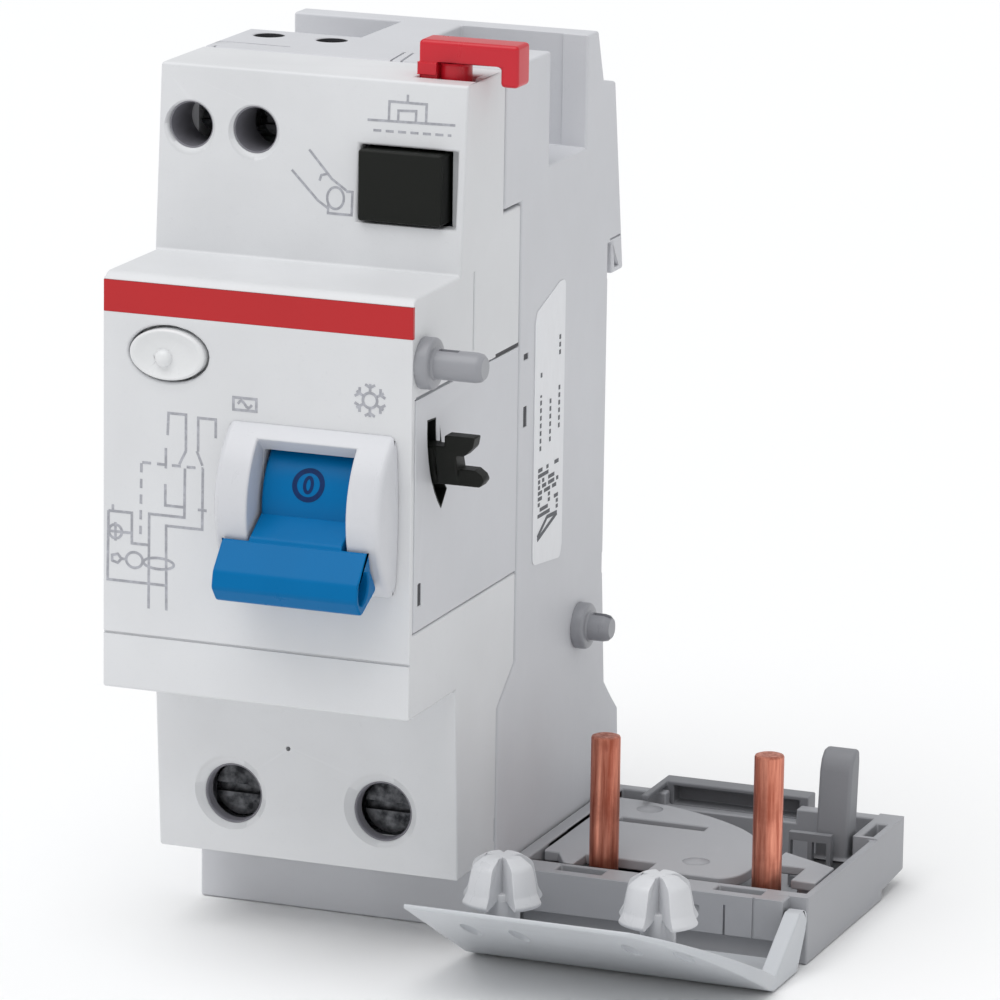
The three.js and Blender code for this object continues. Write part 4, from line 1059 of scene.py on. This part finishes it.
for index, x in enumerate(PLUG_X, 1):
    bell = [(0 if radius < 0.01 else radius, height) for radius, height in rounded(BELL, BELL_ROUNDING, 5)]
    plug = lathe(bell, (x, PLUG_Y, 0), "z", 96)
    turns = [Matrix.Rotation(math.radians(FLUTE_ANGLE + 90 * quarter), 4, "Z") for quarter in range(4)]
    cut(plug, *[moved(prism(FLUTE, "z", -43, -37), (x, PLUG_Y, 0), turn) for turn in turns])
    stem = rod(STEM, (x, PLUG_Y, -48.4), (x, PLUG_Y, -41.2), 64)
    room = prism([(-62, above_flap(-62)), (-44, above_flap(-44)), (-44, -30), (-62, -30)], "x", x - 8, x + 8)
    overlap(stem, room)
    joined(plug, stem)
    finished(plug, f"sealing_plug_{index}", "terminal_flap", plug_grey, (f"flap_plug_{index}",),
             bevel=0.2)

# ---------------------------------------------------------------- CAD nodes that stay, with their finish

KEPT = {
    "mechanism_frame": inner_plastic, "toggle_pin": steel, "toggle_spring": steel, "trip_shaft": steel,
    "release_latch": black_plastic, "latch_pin": steel, "trip_relay": relay_blue, "relay_plunger": steel,
    "test_contact": brass, "circuit_board": board_green, "test_resistor": resistor_tan,
    "terminal_screw_1": dark_steel, "terminal_screw_2": dark_steel, "terminal_clamp_1": steel,
    "terminal_clamp_2": steel, "aux_screw_1": dark_steel, "aux_screw_2": dark_steel, "aux_clamp_1": steel,
    "aux_clamp_2": steel, "toroid_core": ferrite, "toroid_winding": winding, "conductor_1": copper_flex,
    "conductor_2": copper_flex, "rail_clip": tray_grey, "rail_clip_spring": steel,
    "flap_pin_1": steel, "flap_pin_2": steel,
}
for node, material in KEPT.items():
    mesh = frame["nodes"][node].data
    mesh.materials.clear()
    mesh.materials.append(material)

# ---------------------------------------------------------------- camera

CAMERA_AT = Vector((265.44, -677.19, 161.63)) * MM
AZIMUTH, ELEVATION, ROLL = (math.radians(v) for v in (21.03, 13.50, 0.85))
SENSOR_MM, LENS_MM = 36.0, 238.2


def outwards(azimuth, elevation):
    """The way from the part to a viewer or a light, its azimuth turned from the front to the right."""
    level = math.cos(elevation)
    return Vector((math.sin(azimuth) * level, -math.cos(azimuth) * level, math.sin(elevation)))


back = outwards(AZIMUTH, ELEVATION)
right = Vector((math.cos(AZIMUTH), math.sin(AZIMUTH), 0))
up = back.cross(right)
across = right * math.cos(ROLL) + up * math.sin(ROLL)
upward = back.cross(across)
camera = bpy.data.objects.new("camera", bpy.data.cameras.new("camera"))
scene.collection.objects.link(camera)
camera.data.sensor_width = SENSOR_MM
camera.data.lens = LENS_MM
camera.data.clip_start = 0.05
camera.data.clip_end = 20
turn = Matrix((across, upward, back)).transposed().to_4x4()
camera.matrix_world = Matrix.Translation(CAMERA_AT) @ turn
scene.camera = camera

# ---------------------------------------------------------------- floor and light

# The floor is in metres.
FLOOR_Z = cad_box[0].z - 0.00005
FLOOR_HALF = 4.0
SUN_AZIMUTH, SUN_ELEVATION = math.radians(-25), math.radians(68)

floor = as_object("floor", bpy.data.meshes.new("floor"))
corners = [(sx * FLOOR_HALF, sy * FLOOR_HALF, FLOOR_Z) for sx, sy in ((-1, -1), (1, -1), (1, 1), (-1, 1))]
floor.data.from_pydata(corners, [], [(0, 1, 2, 3)])
floor_white = Nodes("floor_white")
tone = floor_white.noise(3, 2)
white = floor_white.mixed(tone, (0.93, 0.93, 0.93, 1), (0.95, 0.95, 0.95, 1))
floor.data.materials.append(
    floor_white.finish(white, floor_white.ranged(tone, 0, 1, 0.85, 0.9), tone, 0.0, 0.01))

world = bpy.data.worlds.new("studio")
world.use_nodes = True
backdrop = world.node_tree.nodes["Background"]
backdrop.inputs["Color"].default_value = (0.98, 0.99, 1.0, 1)
backdrop.inputs["Strength"].default_value = 0.66
scene.world = world

sun = bpy.data.objects.new("key", bpy.data.lights.new("key", "SUN"))
sun.data.energy = 1.45
sun.data.angle = math.radians(55)
sun.matrix_world = outwards(SUN_AZIMUTH, SUN_ELEVATION).to_track_quat("Z", "Y").to_matrix().to_4x4()
scene.collection.objects.link(sun)

scene.view_settings.view_transform = "Standard"
scene.view_settings.look = "None"

for obj in list(scene.objects):
    if obj.name.startswith("tool"):
        raise RuntimeError(f"{obj.name} was left over")
